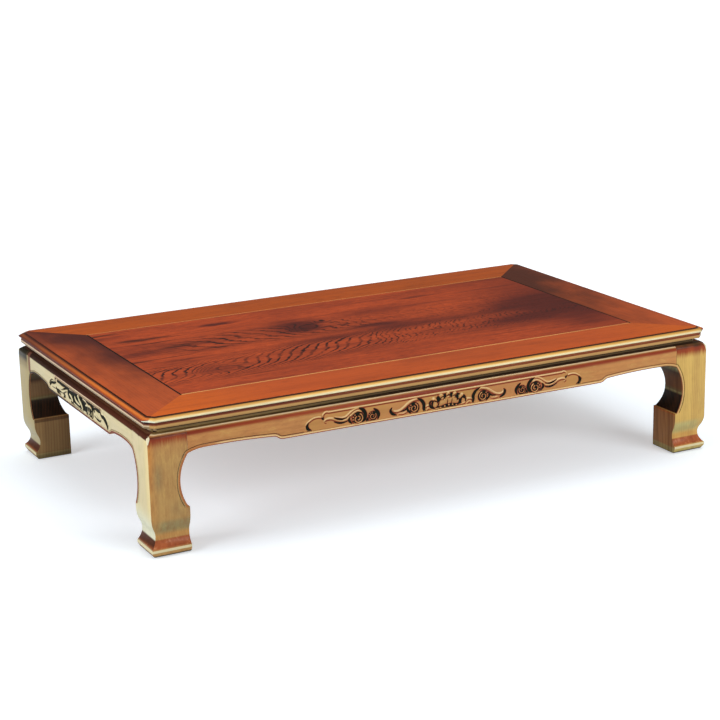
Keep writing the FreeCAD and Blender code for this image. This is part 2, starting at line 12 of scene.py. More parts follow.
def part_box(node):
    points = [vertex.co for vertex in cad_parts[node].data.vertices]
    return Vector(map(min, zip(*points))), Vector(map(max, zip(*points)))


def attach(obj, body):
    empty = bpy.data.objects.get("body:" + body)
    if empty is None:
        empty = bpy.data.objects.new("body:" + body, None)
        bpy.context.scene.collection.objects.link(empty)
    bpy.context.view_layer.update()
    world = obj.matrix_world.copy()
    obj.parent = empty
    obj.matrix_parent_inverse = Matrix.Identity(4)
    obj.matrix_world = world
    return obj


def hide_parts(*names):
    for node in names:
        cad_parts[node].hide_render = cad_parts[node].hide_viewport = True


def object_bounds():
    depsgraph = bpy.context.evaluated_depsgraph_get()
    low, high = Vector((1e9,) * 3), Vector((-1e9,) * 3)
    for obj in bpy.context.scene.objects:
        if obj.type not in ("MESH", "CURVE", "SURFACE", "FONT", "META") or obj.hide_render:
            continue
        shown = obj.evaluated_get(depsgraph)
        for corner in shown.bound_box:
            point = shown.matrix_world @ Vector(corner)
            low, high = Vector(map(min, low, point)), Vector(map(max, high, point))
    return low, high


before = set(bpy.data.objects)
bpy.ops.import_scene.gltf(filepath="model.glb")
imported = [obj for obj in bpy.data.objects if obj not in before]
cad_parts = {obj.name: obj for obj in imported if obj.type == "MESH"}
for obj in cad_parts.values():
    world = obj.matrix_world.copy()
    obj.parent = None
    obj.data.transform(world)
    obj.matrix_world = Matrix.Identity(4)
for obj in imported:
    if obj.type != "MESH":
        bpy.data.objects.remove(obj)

bl_info = {
    "name": "Low table",
    "version": (1, 0, 0),
    "blender": (4, 5, 0),
    "location": "3D View > Sidebar > Low Table",
    "description": "Builds a low table with a framed top, carved aprons and square legs",
    "category": "Add Mesh",
}

ROOT = "root"
SIDES = ("front", "back", "left", "right")
LONG_SIDES = ("front", "back")
CORNERS = ("front_left", "front_right", "back_left", "back_right")
LOW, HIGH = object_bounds()
HALF_LENGTH = (HIGH[0] - LOW[0]) / 2
HALF_DEPTH = (HIGH[1] - LOW[1]) / 2
TOP = HIGH[2]
TOP_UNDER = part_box("top_rail_front")[0][2]
BASE_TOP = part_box("apron_front")[1][2]
SEAM_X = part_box("leg_front_right")[0][0]
SEAM_Y = -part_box("leg_front_right")[1][1]
MM = 0.001
# Section of the rails: rounding on top of the lip, chamfer at its foot, and where the flat parts have a point
LIP_ROUND, LIP_FOOT, RAIL_MIDDLE = 0.0015, 0.0008, 0.0400
# Heights on the legs: bands of the flare and over the toe, top of the toe, bevel under it, and foot of the corner facet
FLARE, TOE_BAND = (0.0205, 0.0385), (0.0134, 0.0192)
TOE_TOP, TOE_BEVEL, FACET_FOOT = 0.0125, 0.0057, 0.261
# Lower edge of the aprons: where its steps begin from the leg, its lowest and highest lines below the top of the base,
# where it meets the leg, the height of the ledge on the leg, and the lengths of the curve's upper end and of a step
STEP_LONG, STEP_SHORT = 0.203, 0.121
EDGE_LOW, EDGE_HIGH, EDGE_SEAM = 0.059, 0.0456, 0.0534
LEDGE, CURVE_END, STEP_LENGTH = 0.107, 0.037, 0.027
# How far a carving's slab runs past its field, and below the field's floor; facets round a bead
SLAB_MARGIN, SLAB_DEPTH, BEAD_SIDES = 0.004, 0.003, 14


# ---- settings


def length(name, description, default):
    """A length setting in metres."""
    return FloatProperty(name=name, description=description, default=default, min=0, unit="LENGTH", subtype="DISTANCE")


def level(name, description, default, highest):
    """A plain number from zero up."""
    return FloatProperty(name=name, description=description, default=default, min=0, max=highest)


def tone(name, description, red, green, blue):
    """A colour setting, written as it is seen, from 0 to 255."""
    return FloatVectorProperty(
        name=name, description=description, default=seen(red, green, blue), size=3, min=0, max=1, subtype="COLOR",
    )


def seen(red, green, blue):
    """Linear values of a colour written from 0 to 255."""
    return tuple((c / 255 / 12.92) if c <= 10 else ((c / 255 + 0.055) / 1.055) ** 2.4 for c in (red, green, blue))


class TopSettings(bpy.types.PropertyGroup):
    """Sizes and colours of the top."""

    rail_width: length("Rail width", "Width of the frame's rails", 0.140)
    corner_clip: length("Corner clip", "How far each corner is clipped along its sides", 0.022)
    quirk_inset: length("Quirk inset", "From the edge to the step down from the flat top", 0.016)
    quirk_drop: length("Quirk drop", "Height of that step", 0.003)
    bulge_inset: length("Bulge inset", "Where the rounded part of the edge begins", 0.013)
    bulge_height: length("Bulge height", "Height of the rounded part", 0.0076)
    nose_radius: length("Nose radius", "Rounding at the outermost line", 0.0018)
    groove_height: length("Groove height", "Height of the groove under the rounded part", 0.0054)
    groove_inset: length("Groove inset", "From the edge to the bottom of that groove", 0.007)
    lip_inset: length("Lip inset", "From the edge to the face of the lower lip", 0.005)
    joint_chamfer: length("Joint chamfer", "Chamfer on both sides of the joint round the panel", 0.0012)
    easing: length("Easing", "Rounding of the sharp edges", 0.0005)
    panel_red: tone("Panel, light", "Light tone of the panel", 180, 73, 31)
    panel_brown: tone("Panel, dark", "Dark tone of the panel", 96, 34, 22)
    panel_line: tone("Panel, lines", "Tone of the grain lines in the panel", 48, 18, 13)
    rail_orange: tone("Long rails", "Tone of the front and back rails", 204, 94, 22)
    rail_brown: tone("Short rails", "Tone of the left and right rails", 184, 82, 34)
    rail_dark: tone("Rail patches", "Tone of the dark patches on the rails", 76, 24, 12)
    # Bands of the moulded edge, painted as light and shade: a painted gold highlight, a painted cream reflection of the
    # pale floor, and painted shade in the step and the groove; the dark tone also darkens the edge's grain.
    edge_highlight_gold: tone("Edge, gold", "Upper part of the rounded edge", 222, 168, 78)
    edge_reflection_cream: tone("Edge, cream", "Lower part of the rounded edge", 232, 220, 176)
    edge_shade_and_grain: tone("Edge, dark", "The step and the groove of the edge", 66, 38, 32)
    edge_tan: tone("Edge, tan", "Lip of the edge", 184, 142, 88)


class BaseSettings(bpy.types.PropertyGroup):
    """Sizes and colours of the neck, aprons and legs."""

    face_inset: length("Face inset", "From the top's edge to the aprons' faces", 0.003)
    easing: length("Easing", "Rounding of the sharp edges", 0.0009)
    bead_offset: length("Bead offset", "From the lower edge to the middle of its bead", 0.0033)
    bead_radius: length("Bead radius", "Radius of the bead along the lower edge", 0.0028)
    bead_rise: length("Bead rise", "How far that bead stands out from the face", 0.0006)
    line_offset: length("Line offset", "From the lower edge to the middle of its thin pale line", 0.0010)
    line_radius: length("Line radius", "Radius of that line", 0.0011)
    line_rise: length("Line rise", "How far that line stands out from the face", 0.0007)
    pad_rounding: length("Pad rounding", "Rounding of the felt pads", 0.0007)
    timber_tan: tone("Long faces", "Tone of the front and back faces", 196, 134, 78)
    # The left and right faces are painted pale, as painted light and reflection.
    side_faces_lit_pale: tone("Short faces", "Tone of the left and right faces", 214, 196, 153)
    timber_vein: tone("Veins", "Tone of the grain in the base", 148, 96, 58)
    leg_tan: tone("Left legs", "Tone of the left legs' front faces", 190, 150, 90)
    # Painted light: the right legs' front faces are painted lighter and golder than the left ones; this tone also tints
    # the aprons' haze and mottle.
    leg_gold: tone("Right legs", "Tone of the right legs' front faces", 214, 176, 98)
    leg_olive: tone("Leg haze", "Tone of the soft olive patches on the legs", 150, 130, 88)
    foot_olive: tone("Foot haze", "Tone of the olive patch above the foot's flare", 146, 142, 100)
    # Mainly a painted highlight along the legs' outer edges.
    edge_orange: tone("Leg edge", "Tone along the legs' outer edges", 212, 144, 72)
    # Warmer patches in the painted pale light of the left and right faces.
    side_faces_lit_cream: tone("Short faces, cream", "Warmer tone on the left and right faces", 220, 208, 164)
    pale_shade: tone("Short faces, veins", "Tone of the grain on the left and right faces", 170, 168, 122)
    # Painted highlight on the corner facet.
    facet_highlight: tone("Corner facet", "Tone of the facet at the top of each leg's outer edge", 236, 226, 190)
    shoulder_red: tone("Shoulder", "Tone of the rounded shoulder", 158, 70, 34)
    # Painted highlight along the top of the shoulder.
    crest_highlight_cream: tone("Crest", "Thin line along the top of the shoulder", 238, 214, 168)
    field_orange: tone("Field", "Tone of the carving's ground on the long sides", 194, 132, 78)
    # Crests of the carving, painted pale as highlights.
    carved_crest_highlight: tone("Carved crests", "Tone of the carving's crests on the long sides", 226, 190, 134)
    # Under the carved forms, a thin glaze together with a red painted shadow.
    glaze_and_shadow_red: tone("Glaze, thin", "Thin glaze on the undersides of the carved forms", 148, 64, 42)
    # Painted shade on the surfaces that face inwards.
    inner_shade_brown: tone("Inner sides", "Tone of the surfaces that face inwards", 74, 44, 28)
    # In the cuts, dark glaze together with painted shade.
    cut_glaze_and_shade: tone("Glaze, thick", "Dark glaze in the cuts of the carving and the grooves", 24, 26, 17)
    flare_red: tone("Foot flare", "Tone of the flare above the toe", 176, 96, 56)
    toe_pale: tone("Toe band", "Thin band round the toe", 226, 212, 168)
    # The neck is painted dark as shade in its recess, with a paler painted lit line.
    neck_shade_dark: tone("Neck", "Tone of the recessed neck", 64, 46, 30)
    neck_lit_line: tone("Neck line", "Thin paler line along the neck", 164, 136, 88)


class CarvingSettings(bpy.types.PropertyGroup):
    """Sizes of the carved fields."""

    step: length("Step", "Spacing of the relief's points", 0.00066)
    floor: length("Floor", "Depth of the sunk field below the face", 0.002)
    ground: length("Ground", "Depth of the carving's ground below the face", 0.0005)
    relief_share: level("Relief", "Height of the carved forms as a share of their full height", 1.0, 1.2)
    top_gap: length("Top gap", "From the top of the base down to the field", 0.015)
    bottom_gap: length("Bottom gap", "From the top of the base down to the field's lower side", 0.052)
    end_gap_long: length("Long end gap", "From the leg to the field on the long sides", 0.285)
    end_gap_short: length("Short end gap", "From the leg to the field on the short sides", 0.149)
    cloud_length: length("Cloud length", "Length of the field's shaped ends", 0.057)
    border_radius: length("Border", "Half width of the raised line round the field", 0.0022)


class StageSettings(bpy.types.PropertyGroup):
    """Camera, floor and lamps."""

    floor_size: length("Floor size", "Side of the square floor", 80.0)
    floor_tone: tone("Floor", "Tone of the floor", 223, 234, 243)
    floor_glow: level("Floor glow", "How bright the floor near the table shows on its own", 0.42, 1.0)
    overhead_power: level("Overhead", "Power of the overhead softbox in watts", 58.0, 1000.0)
    left_power: level("Left", "Power of the left softbox in watts", 62.0, 1000.0)
    front_power: level("Front", "Power of the front softbox in watts", 86.0, 1000.0)
    world_level: level("World", "Level of the soft light all round", 0.20, 10.0)


# ---- shader maths


class Value:
    """A shader socket with a number in it, used in Python sums."""

    def __init__(self, finish, socket):
        self.finish, self.socket = finish, socket

    def maths(self, operation, *others):
        sockets = dict(enumerate((self,) + others))
        return self.finish.node("ShaderNodeMath", {"operation": operation}, sockets)

    def __add__(self, other):
        return self.maths("ADD", other)

    def __sub__(self, other):
        return self.maths("SUBTRACT", other)

    def __mul__(self, other):
        return self.maths("MULTIPLY", other)

    def __truediv__(self, other):
        return self.maths("DIVIDE", other)

    def __rsub__(self, other):
        return self.maths("MULTIPLY", -1.0).maths("ADD", other)

    def __abs__(self):
        return self.maths("ABSOLUTE")

    __radd__, __rmul__ = __add__, __mul__

    def most(self, other):
        return self.maths("MAXIMUM", other)

    def least(self, other):
        return self.maths("MINIMUM", other)

    def clipped(self):
        return self.most(0.0).least(1.0)

    def span(self, low, high):
        """0 at low, 1 at high, and smooth between them."""
        settings = {"interpolation_type": "SMOOTHSTEP"}
        return self.finish.node("ShaderNodeMapRange", settings, {"Value": self, "From Min": low, "From Max": high})

    def fade(self, low, high):
        """1 at low, 0 at high, and smooth between them."""
        return 1 - self.span(low, high)

    def band(self, low, high, soft):
        """1 between low and high, and 0 outside, with soft edges."""
        return self.span(low - soft, low + soft) * self.fade(high - soft, high + soft)


def distance(across, up):
    return (across * across + up * up).maths("SQRT")


def rgba(colour):
    """Colour for a socket: a link stays, and a setting or a tone written from 0 to 255 gets its alpha."""
    if isinstance(colour, Value):
        return colour
    return (*(seen(*colour) if isinstance(colour, tuple) else colour), 1)


class Finish:
    """A node material for one finish of the table."""

    def __init__(self, name):
        self.material = bpy.data.materials.new(name)
        self.material.use_nodes = True
        self.tree = self.material.node_tree
        self.tree.nodes.clear()
        self.place = self.node("ShaderNodeTexCoord", wanted="Object")
        self.facing = self.node("ShaderNodeTexCoord", wanted="Normal")

    def node(self, kind, settings=None, sockets=None, wanted=0):
        """Adds a node: its settings first, then its sockets' values or links. Returns one of its outputs."""
        made = self.tree.nodes.new(kind)
        for name, value in (settings or {}).items():
            setattr(made, name, value)
        for name, value in (sockets or {}).items():
            if isinstance(value, Value):
                self.tree.links.new(value.socket, made.inputs[name])
            else:
                made.inputs[name].default_value = value
        return Value(self, made.outputs[wanted]) if made.outputs else made

    def mix(self, share, first, second):
        """Colour between two colours."""
        sockets = {0: share, 6: rgba(first), 7: rgba(second)}
        return self.node("ShaderNodeMix", {"data_type": "RGBA"}, sockets, wanted=2)

    def layers(self, colour, *rows):
        """A colour with others laid over it in turn, each as (share, colour)."""
        for share, tone in rows:
            colour = self.mix(share, colour, tone)
        return colour

    def ramp(self, level, stops):
        """Colour read from stops, each as (level, colour)."""
        colour = self.node("ShaderNodeValToRGB", None, {0: level})
        marks = colour.socket.node.color_ramp.elements
        marks.remove(marks[1])
        marks[0].position, marks[0].color = stops[0][0], rgba(stops[0][1])
        for position, tone in stops[1:]:
            marks.new(position).color = rgba(tone)
        return colour

    def axes(self, vector=None):
        """The three parts of the object coordinates, or of another vector."""
        return [self.node("ShaderNodeSeparateXYZ", None, {0: vector or self.place}, wanted=i) for i in range(3)]

    def noise(self, stretch, size=2.0, detail=2.0, roughness=0.5, distortion=0.0, shift=(0, 0, 0)):
        """Noise in object coordinates that are scaled and shifted."""
        mapping = {"Vector": self.place, "Location": shift, "Scale": stretch}
        sockets = {"Vector": self.node("ShaderNodeMapping", None, mapping), "Scale": size}
        sockets.update({"Detail": detail, "Roughness": roughness, "Distortion": distortion})
        return self.node("ShaderNodeTexNoise", None, sockets)

    def attribute(self, name):
        return self.node("ShaderNodeAttribute", {"attribute_name": name}, wanted="Fac")

    def surface(self, colour, roughness, height, depth, strength=1.0, **levels):
        """Principled shader with a bump, and output. Levels are plain numbers for its other sockets."""
        bump = self.node("ShaderNodeBump", None, {"Height": height, "Distance": depth, "Strength": strength})
        sockets = {"Base Color": rgba(colour), "Roughness": roughness, "Normal": bump}
        sockets.update({name.replace("_", " "): value for name, value in levels.items()})
        shader = self.node("ShaderNodeBsdfPrincipled", None, sockets)
        self.node("ShaderNodeOutputMaterial", None, {"Surface": shader})
        return self.material


class Timber(Finish):
    """A finish with growth rings, fibres and pores that run along one axis."""

    def __init__(self, name, along, seed, ring, wander=0.016):
        super().__init__(name)

        def grain(length_scale, cross_scale, *levels):
            stretch = tuple(length_scale if axis == along else cross_scale for axis in "xyz")
            return self.noise(stretch, *levels, shift=(seed, seed * 1.7, seed * 0.6))

        sway, warp = grain(1.0, 2.6, 2.4), grain(3.0, 14.0, 2.0)
        across = [part for part, axis in zip(self.axes(), "xyz") if axis != along]
        pith = (0.115 + seed * 0.01, -0.21)
        offsets = [part - middle + (sway - 0.5) * wander * 6 for part, middle in zip(across, pith)]
        turn = ((distance(*offsets) + (warp - 0.5) * wander * 0.5) / ring).maths("FRACT")
        self.late = turn.span(0.35, 0.93) * turn.fade(0.94, 1.0)
        self.fibre = grain(5.0, 330.0, 1.0, 3.0, 0.6)
        self.cloud = grain(1.5, 5.0, 1.6, 3.0, 0.55)
        self.pore = grain(34.0, 700.0, 1.0, 1.0).span(0.66, 0.76) * self.late
        self.streak = grain(2.2, 46.0, 1.0, 3.0, 0.6)
        self.mottle = grain(22.0, 64.0, 1.6, 4.0, 0.7)

    def lacquered(self, colour, roughness, gloss, specular, depth=0.00006):
        """Timber under a clear coat. Pores and fibres break its sheen a little."""
        rough = (self.fibre - 0.5) * 0.16 + self.pore * 0.12 + roughness
        return self.surface(
            colour, rough, self.fibre * 0.4 - self.pore, depth, 0.55,
            Specular_IOR_Level=specular, Coat_Weight=gloss, Coat_Roughness=0.16, Coat_IOR=1.5,
        )


# ---- finishes


def places(finish):
    """Where a point lies: x, y and z, and its distances in from the left or right and from the front or back."""
    x, y, z = finish.axes()
    return x, y, z, HALF_LENGTH - abs(x), HALF_DEPTH - abs(y)


def diagonal(finish):
    """1 where a surface faces a corner of the table, and 0 where it faces a side."""
    normal_x, normal_y, _ = finish.axes(finish.facing)
    return abs(normal_x).least(abs(normal_y)).span(0.30, 0.50)


def to_back(finish, front, back):
    """Tone of a short side, from the front corner to the back one."""
    return finish.mix(finish.axes()[1].span(-0.35, 0.25), front, back)


# Bands of figure in the panel: middle, its drift along the length, lean and hook of the waves, pitch and half width
FIGURES = ((-0.108, 0.08, 0.36, 260.0, 0.031, 0.104), (0.070, 0.0, -0.30, -220.0, 0.047, 0.085))
# Knots and dark clouds of the panel: place, half sizes, depth of tone, and how many rings close round them
KNOTS = (
    (-0.12, 0.115, 0.11, 0.105, 0.85, 0), (-0.11, 0.085, 0.065, 0.050, 0.30, 2.5),
    (-0.05, 0.12, 0.035, 0.020, 0.35, 1.5), (0.05, 0.02, 0.10, 0.024, 0.62, 0),
    (-0.29, 0.238, 0.085, 0.020, 1.2, 0), (0.30, 0.228, 0.090, 0.012, 0.55, 1),
    (-0.45, -0.155, 0.085, 0.048, 0.30, 3.5), (-0.02, 0.02, 0.36, 0.13, 0.40, 0),
    (0.40, -0.12, 0.22, 0.06, 0.40, 0), (-0.55, 0.06, 0.16, 0.03, 0.45, 0),
    (-0.60, 0.245, 0.14, 0.030, 0.60, 0), (0.14, -0.03, 0.26, 0.05, 0.25, 0),
    (-0.12, -0.045, 0.17, 0.040, 0.60, 0), (-0.52, -0.05, 0.10, 0.05, 0.40, 0),
    (0.12, 0.15, 0.20, 0.06, 0.55, 0), (0.30, -0.16, 0.24, 0.07, 0.45, 0),
    (0.46, 0.04, 0.18, 0.10, 0.30, 0), (0.42, -0.06, 0.24, 0.09, 0.34, 0), (0.16, -0.10, 0.16, 0.035, 0.22, 0),
)


def panel_finish(top):
    """Red-brown panel: oblique waves of dark grain in two bands that run out into streaks, knots and dark clouds."""
    wood = Timber("figured_panel", "x", 0.3, 0.0085, 0.014)
    x, y, _, from_end, from_side = places(wood)
    sway = wood.noise((1.7, 2.4, 1.0)) - 0.5
    ripple = wood.noise((10.0, 17.0, 1.0), 2.0, 2.0, 0.6) - 0.5
    fine = wood.noise((34.0, 60.0, 1.0), 2.0, 1.0) - 0.5
    past_middle = x.span(-0.1, 0.1)
    phases, nears = [], []
    for centre, drift, lean, hook, pitch, reach in FIGURES:
        off = y - x * drift - centre + sway * 0.07
        bend = off * lean + off * off * off * hook
        wave = (x + x.most(0.0) * 0.8 - bend + sway * 0.12) / pitch
        phases.append(wave + ripple * (past_middle * 2.2 + 0.9) + fine * (past_middle * 0.5 + 0.45))
        nears.append(abs(off).fade(reach * 0.55, reach))
    share = y.span(-0.05, 0.02)
    phase = phases[0] * (1 - share) + phases[1] * share
    cloud = wood.noise((1.3, 4.5, 1.0), 2.1, 3.0, 0.55, shift=(0.7, 0.2, 0)).span(0.40, 0.74)
    shade = cloud * 0.42 + x.span(0.30, 0.60) * (1.05 - abs(y) * 1.9)
    broken = wood.noise((11.0, 24.0, 1.0), shift=(0.4, 0.1, 0)).span(0.44, 0.58)
    figured = nears[0] * (1 - x.span(-0.06, 0.10) * (0.90 - broken * 0.75))
    figured = figured.most(nears[1] * (1 - x.span(-0.10, 0.12) * 0.75) * x.span(-0.52, -0.36))
    for spot_x, spot_y, size_x, size_y, depth, rings in KNOTS:
        near = distance((x - spot_x + ripple * 0.03) / size_x, (y - spot_y + ripple * 0.02) / size_y).fade(0.1, 1.0)
        shade = shade + near * depth
        if rings:
            phase, figured = phase + near * rings, figured.most(near.span(0.0, 0.4))
    turn = phase.maths("FRACT")
    line = turn.span(0.54, 0.76) * turn.fade(0.88, 0.96)
    patchy = wood.noise((4.0, 9.0, 1.0)).span(0.36, 0.54)
    dash = wood.noise((2.2, 40.0, 1.0), 1.6, 3.0, 0.6, 0.3, shift=(0.1, 0.5, 0)).span(0.52, 0.66)
    streak = wood.noise((2.4, 90.0, 1.0), 1.0, 3.0, 0.6).span(0.35, 0.75)
    joint = top.rail_width + top.joint_chamfer * 0.9
    past_end = from_end.span(joint + 0.0010, joint + 0.0014)
    # Painted highlight: a pale line on the chamfer along the panel's front and back joints.
    chamfer_highlight = from_side.fade(joint + 0.0012, joint + 0.0016) * past_end
    colour = wood.layers(
        top.panel_red,
        (shade.clipped(), top.panel_brown),
        ((shade - 0.75).clipped() * 0.7, top.panel_line),
        (streak * 0.34 + wood.mottle.span(0.46, 0.70) * 0.34, top.panel_brown),
        (wood.mottle.fade(0.30, 0.50) * 0.35 * (1 - shade.clipped()), (204, 88, 40)),
        (dash * (x.fade(-0.50, -0.28) * 0.70 + 0.18), top.panel_line),
        (line * (figured * 0.96 + 0.08) * (patchy * 0.5 + 0.5), top.panel_line),
        (wood.pore * 0.5, top.panel_line),
        (1 - past_end, (34, 18, 12)),
        (chamfer_highlight * (0.6 + patchy * 0.4) * (1 - y.span(0.0, 0.2) * 0.5), (204, 150, 90)),
    )
    return wood.lacquered(colour, 0.42, 0.03, 0.07)


def rail_finish(top, is_long):
    """Rail timber on top, and the bands of the moulded edge below it, painted as light and shade."""
    wood = Timber(*(("long_rail_timber", "x", 0.9) if is_long else ("short_rail_timber", "y", 1.4)), 0.006)
    x, y, z, from_end, from_side = places(wood)
    patches = wood.noise((2.0, 5.0, 1.0) if is_long else (6.0, 3.4, 1.0), 2.0, 3.0, 0.55)
    down, thickness = z - TOP, TOP - TOP_UNDER
    if is_long:
        inset = from_side
        dark = y.span(-0.2, 0.3) * 0.26 + x.span(-0.75, -0.1) * 0.10 + patches.span(0.48, 0.78) * 0.20
        main = wood.mix(x.band(-0.50, 0.58, 0.16) * y.fade(-0.2, 0.2) * 0.45, top.rail_orange, (182, 72, 36))
        groove = (z - TOP_UNDER).band(thickness * 0.39, thickness * 0.56, 0.0006)
        at_right = x.span(HALF_LENGTH - 0.030, HALF_LENGTH - 0.010)
        edge_layers = (
            (groove * x.span(-0.45, -0.15) * 0.50, (186, 108, 62)),
            (at_right * down.span(-0.017, -0.014) * 0.7, top.edge_shade_and_grain),
        )
        seam_share, chamfer_highlight_and_joint_tone = 1 - y.span(0.0, 0.2) * 0.45, (204, 144, 84)
    else:
        inset, main = from_end, top.rail_brown
        dark = y * (inset * 3.0 + 0.72) + (inset - 0.024) * 3.0 + x.span(-0.1, 0.1) * 0.12
        dark = (dark + (patches - 0.5) * 0.75).span(-0.22, 0.60)
        edge_layers = (
            (dark * down.span(-0.016, -0.012) * 0.75, top.edge_shade_and_grain),
            (y.span(-0.20, 0.35) * down.span(-0.017, -0.013) * 0.55, (78, 34, 24)),
        )
        seam_share, chamfer_highlight_and_joint_tone = 1.0, (30, 16, 10)
    # The chamfer at the joint: a pale painted highlight on the long rails, and a dark joint line on the short rails.
    joint = top.rail_width - top.joint_chamfer
    seam = inset.span(joint - 0.0016, joint - 0.0012) * seam_share * (0.75 + patches * 0.25)
    grain = wood.late * 0.10 + wood.streak.span(0.4, 0.8) * 0.20 + wood.mottle.span(0.48, 0.72) * 0.16
    edge = wood.layers(
        wood.ramp((z - TOP_UNDER) / thickness, edge_light_and_shade_stops(top, is_long)),
        (wood.late * 0.10 + (wood.streak - 0.45).clipped() * 0.5, top.edge_shade_and_grain),
        *edge_layers,
        # Painted reflection on the facets of the clipped corners: pale mint at the left end, and brown painted shade at
        # the right end.
        (diagonal(wood) * down.band(-0.0115, -0.0035, 0.0004) * 0.8,
         wood.mix(x.span(0.0, 0.2), (226, 232, 208), (124, 66, 38))),
    )
    colour = wood.layers(
        main,
        (dark, wood.mix(x.span(0.0, 0.3), top.rail_dark, (78, 34, 14))),
        (grain, top.rail_dark),
        (wood.pore * 0.35, top.panel_line),
        (seam, chamfer_highlight_and_joint_tone),
        (down.fade(-0.0008, -0.0003) * inset.fade(0.022, 0.026), edge),
    )
    return wood.lacquered(colour, 0.40, 0.06, 0.08)


def edge_light_and_shade_stops(top, is_long):
    """Colour bands of the moulded edge, as shares of the top's thickness from its underside up. They are painted light
    and shade: a painted gold highlight on the bulge with a painted cream reflection under it on the long sides, a
    painted highlight line on the short sides' lip, and painted shade in the step and the groove.
    """
    if is_long:
        return (
            (0.0, (158, 120, 76)), (0.04, (176, 134, 78)), (0.10, top.edge_tan), (0.22, (194, 150, 88)),
            (0.275, (178, 128, 76)), (0.315, (144, 78, 48)), (0.36, (118, 58, 38)), (0.54, (96, 46, 32)),
            (0.575, (200, 164, 112)), (0.63, top.edge_reflection_cream), (0.72, top.edge_reflection_cream), (0.78, (226, 190, 124)),
            (0.83, top.edge_highlight_gold), (0.875, (198, 142, 66)), (0.886, top.edge_shade_and_grain), (0.965, top.edge_shade_and_grain),
            (0.985, (176, 112, 62)),
        )
    return (
        (0.0, (150, 124, 92)), (0.13, (132, 110, 80)), (0.19, (212, 186, 150)), (0.25, (214, 190, 152)),
        (0.29, (160, 118, 88)), (0.36, (120, 60, 40)), (0.39, (66, 32, 26)), (0.575, (60, 30, 26)),
        (0.60, (100, 46, 36)), (0.70, (132, 60, 38)), (0.77, (176, 84, 38)), (0.83, (214, 118, 42)),
        (0.875, (196, 104, 42)), (0.886, (34, 16, 12)), (0.965, (34, 16, 12)), (0.985, (150, 66, 36)),
    )


def neck_finish(base):
    """Satin band painted dark as shade in its recess, with a thin paler painted lit line in front that also fills its
    lower part towards the left, and at the sides a painted lit pale upper part over a lower part painted dark as shade.
    """
    wood = Timber("neck_timber", "x", 2.2, 0.006)
    x, _, z = wood.axes()
    left, up = x.fade(-0.60, -0.10), z - BASE_TOP
    pale = to_back(wood, (216, 186, 146), (160, 138, 110))
    colour = wood.layers(
        base.neck_shade_dark,
        (left * up.fade(0.0046, 0.0062), base.neck_lit_line),
        (up.band(0.0026, 0.0058, 0.0008) * (0.35 + left * 0.3) * (0.7 + wood.fibre * 0.3), base.neck_lit_line),
        (abs(wood.axes(wood.facing)[0]).span(0.55, 0.80), wood.mix(up.span(0.0026, 0.0040), (66, 38, 26), pale)),
        (wood.late * 0.25 + wood.cloud * 0.2, (34, 22, 16)),
    )
    return wood.lacquered(colour, 0.48, 0.05, 0.10)


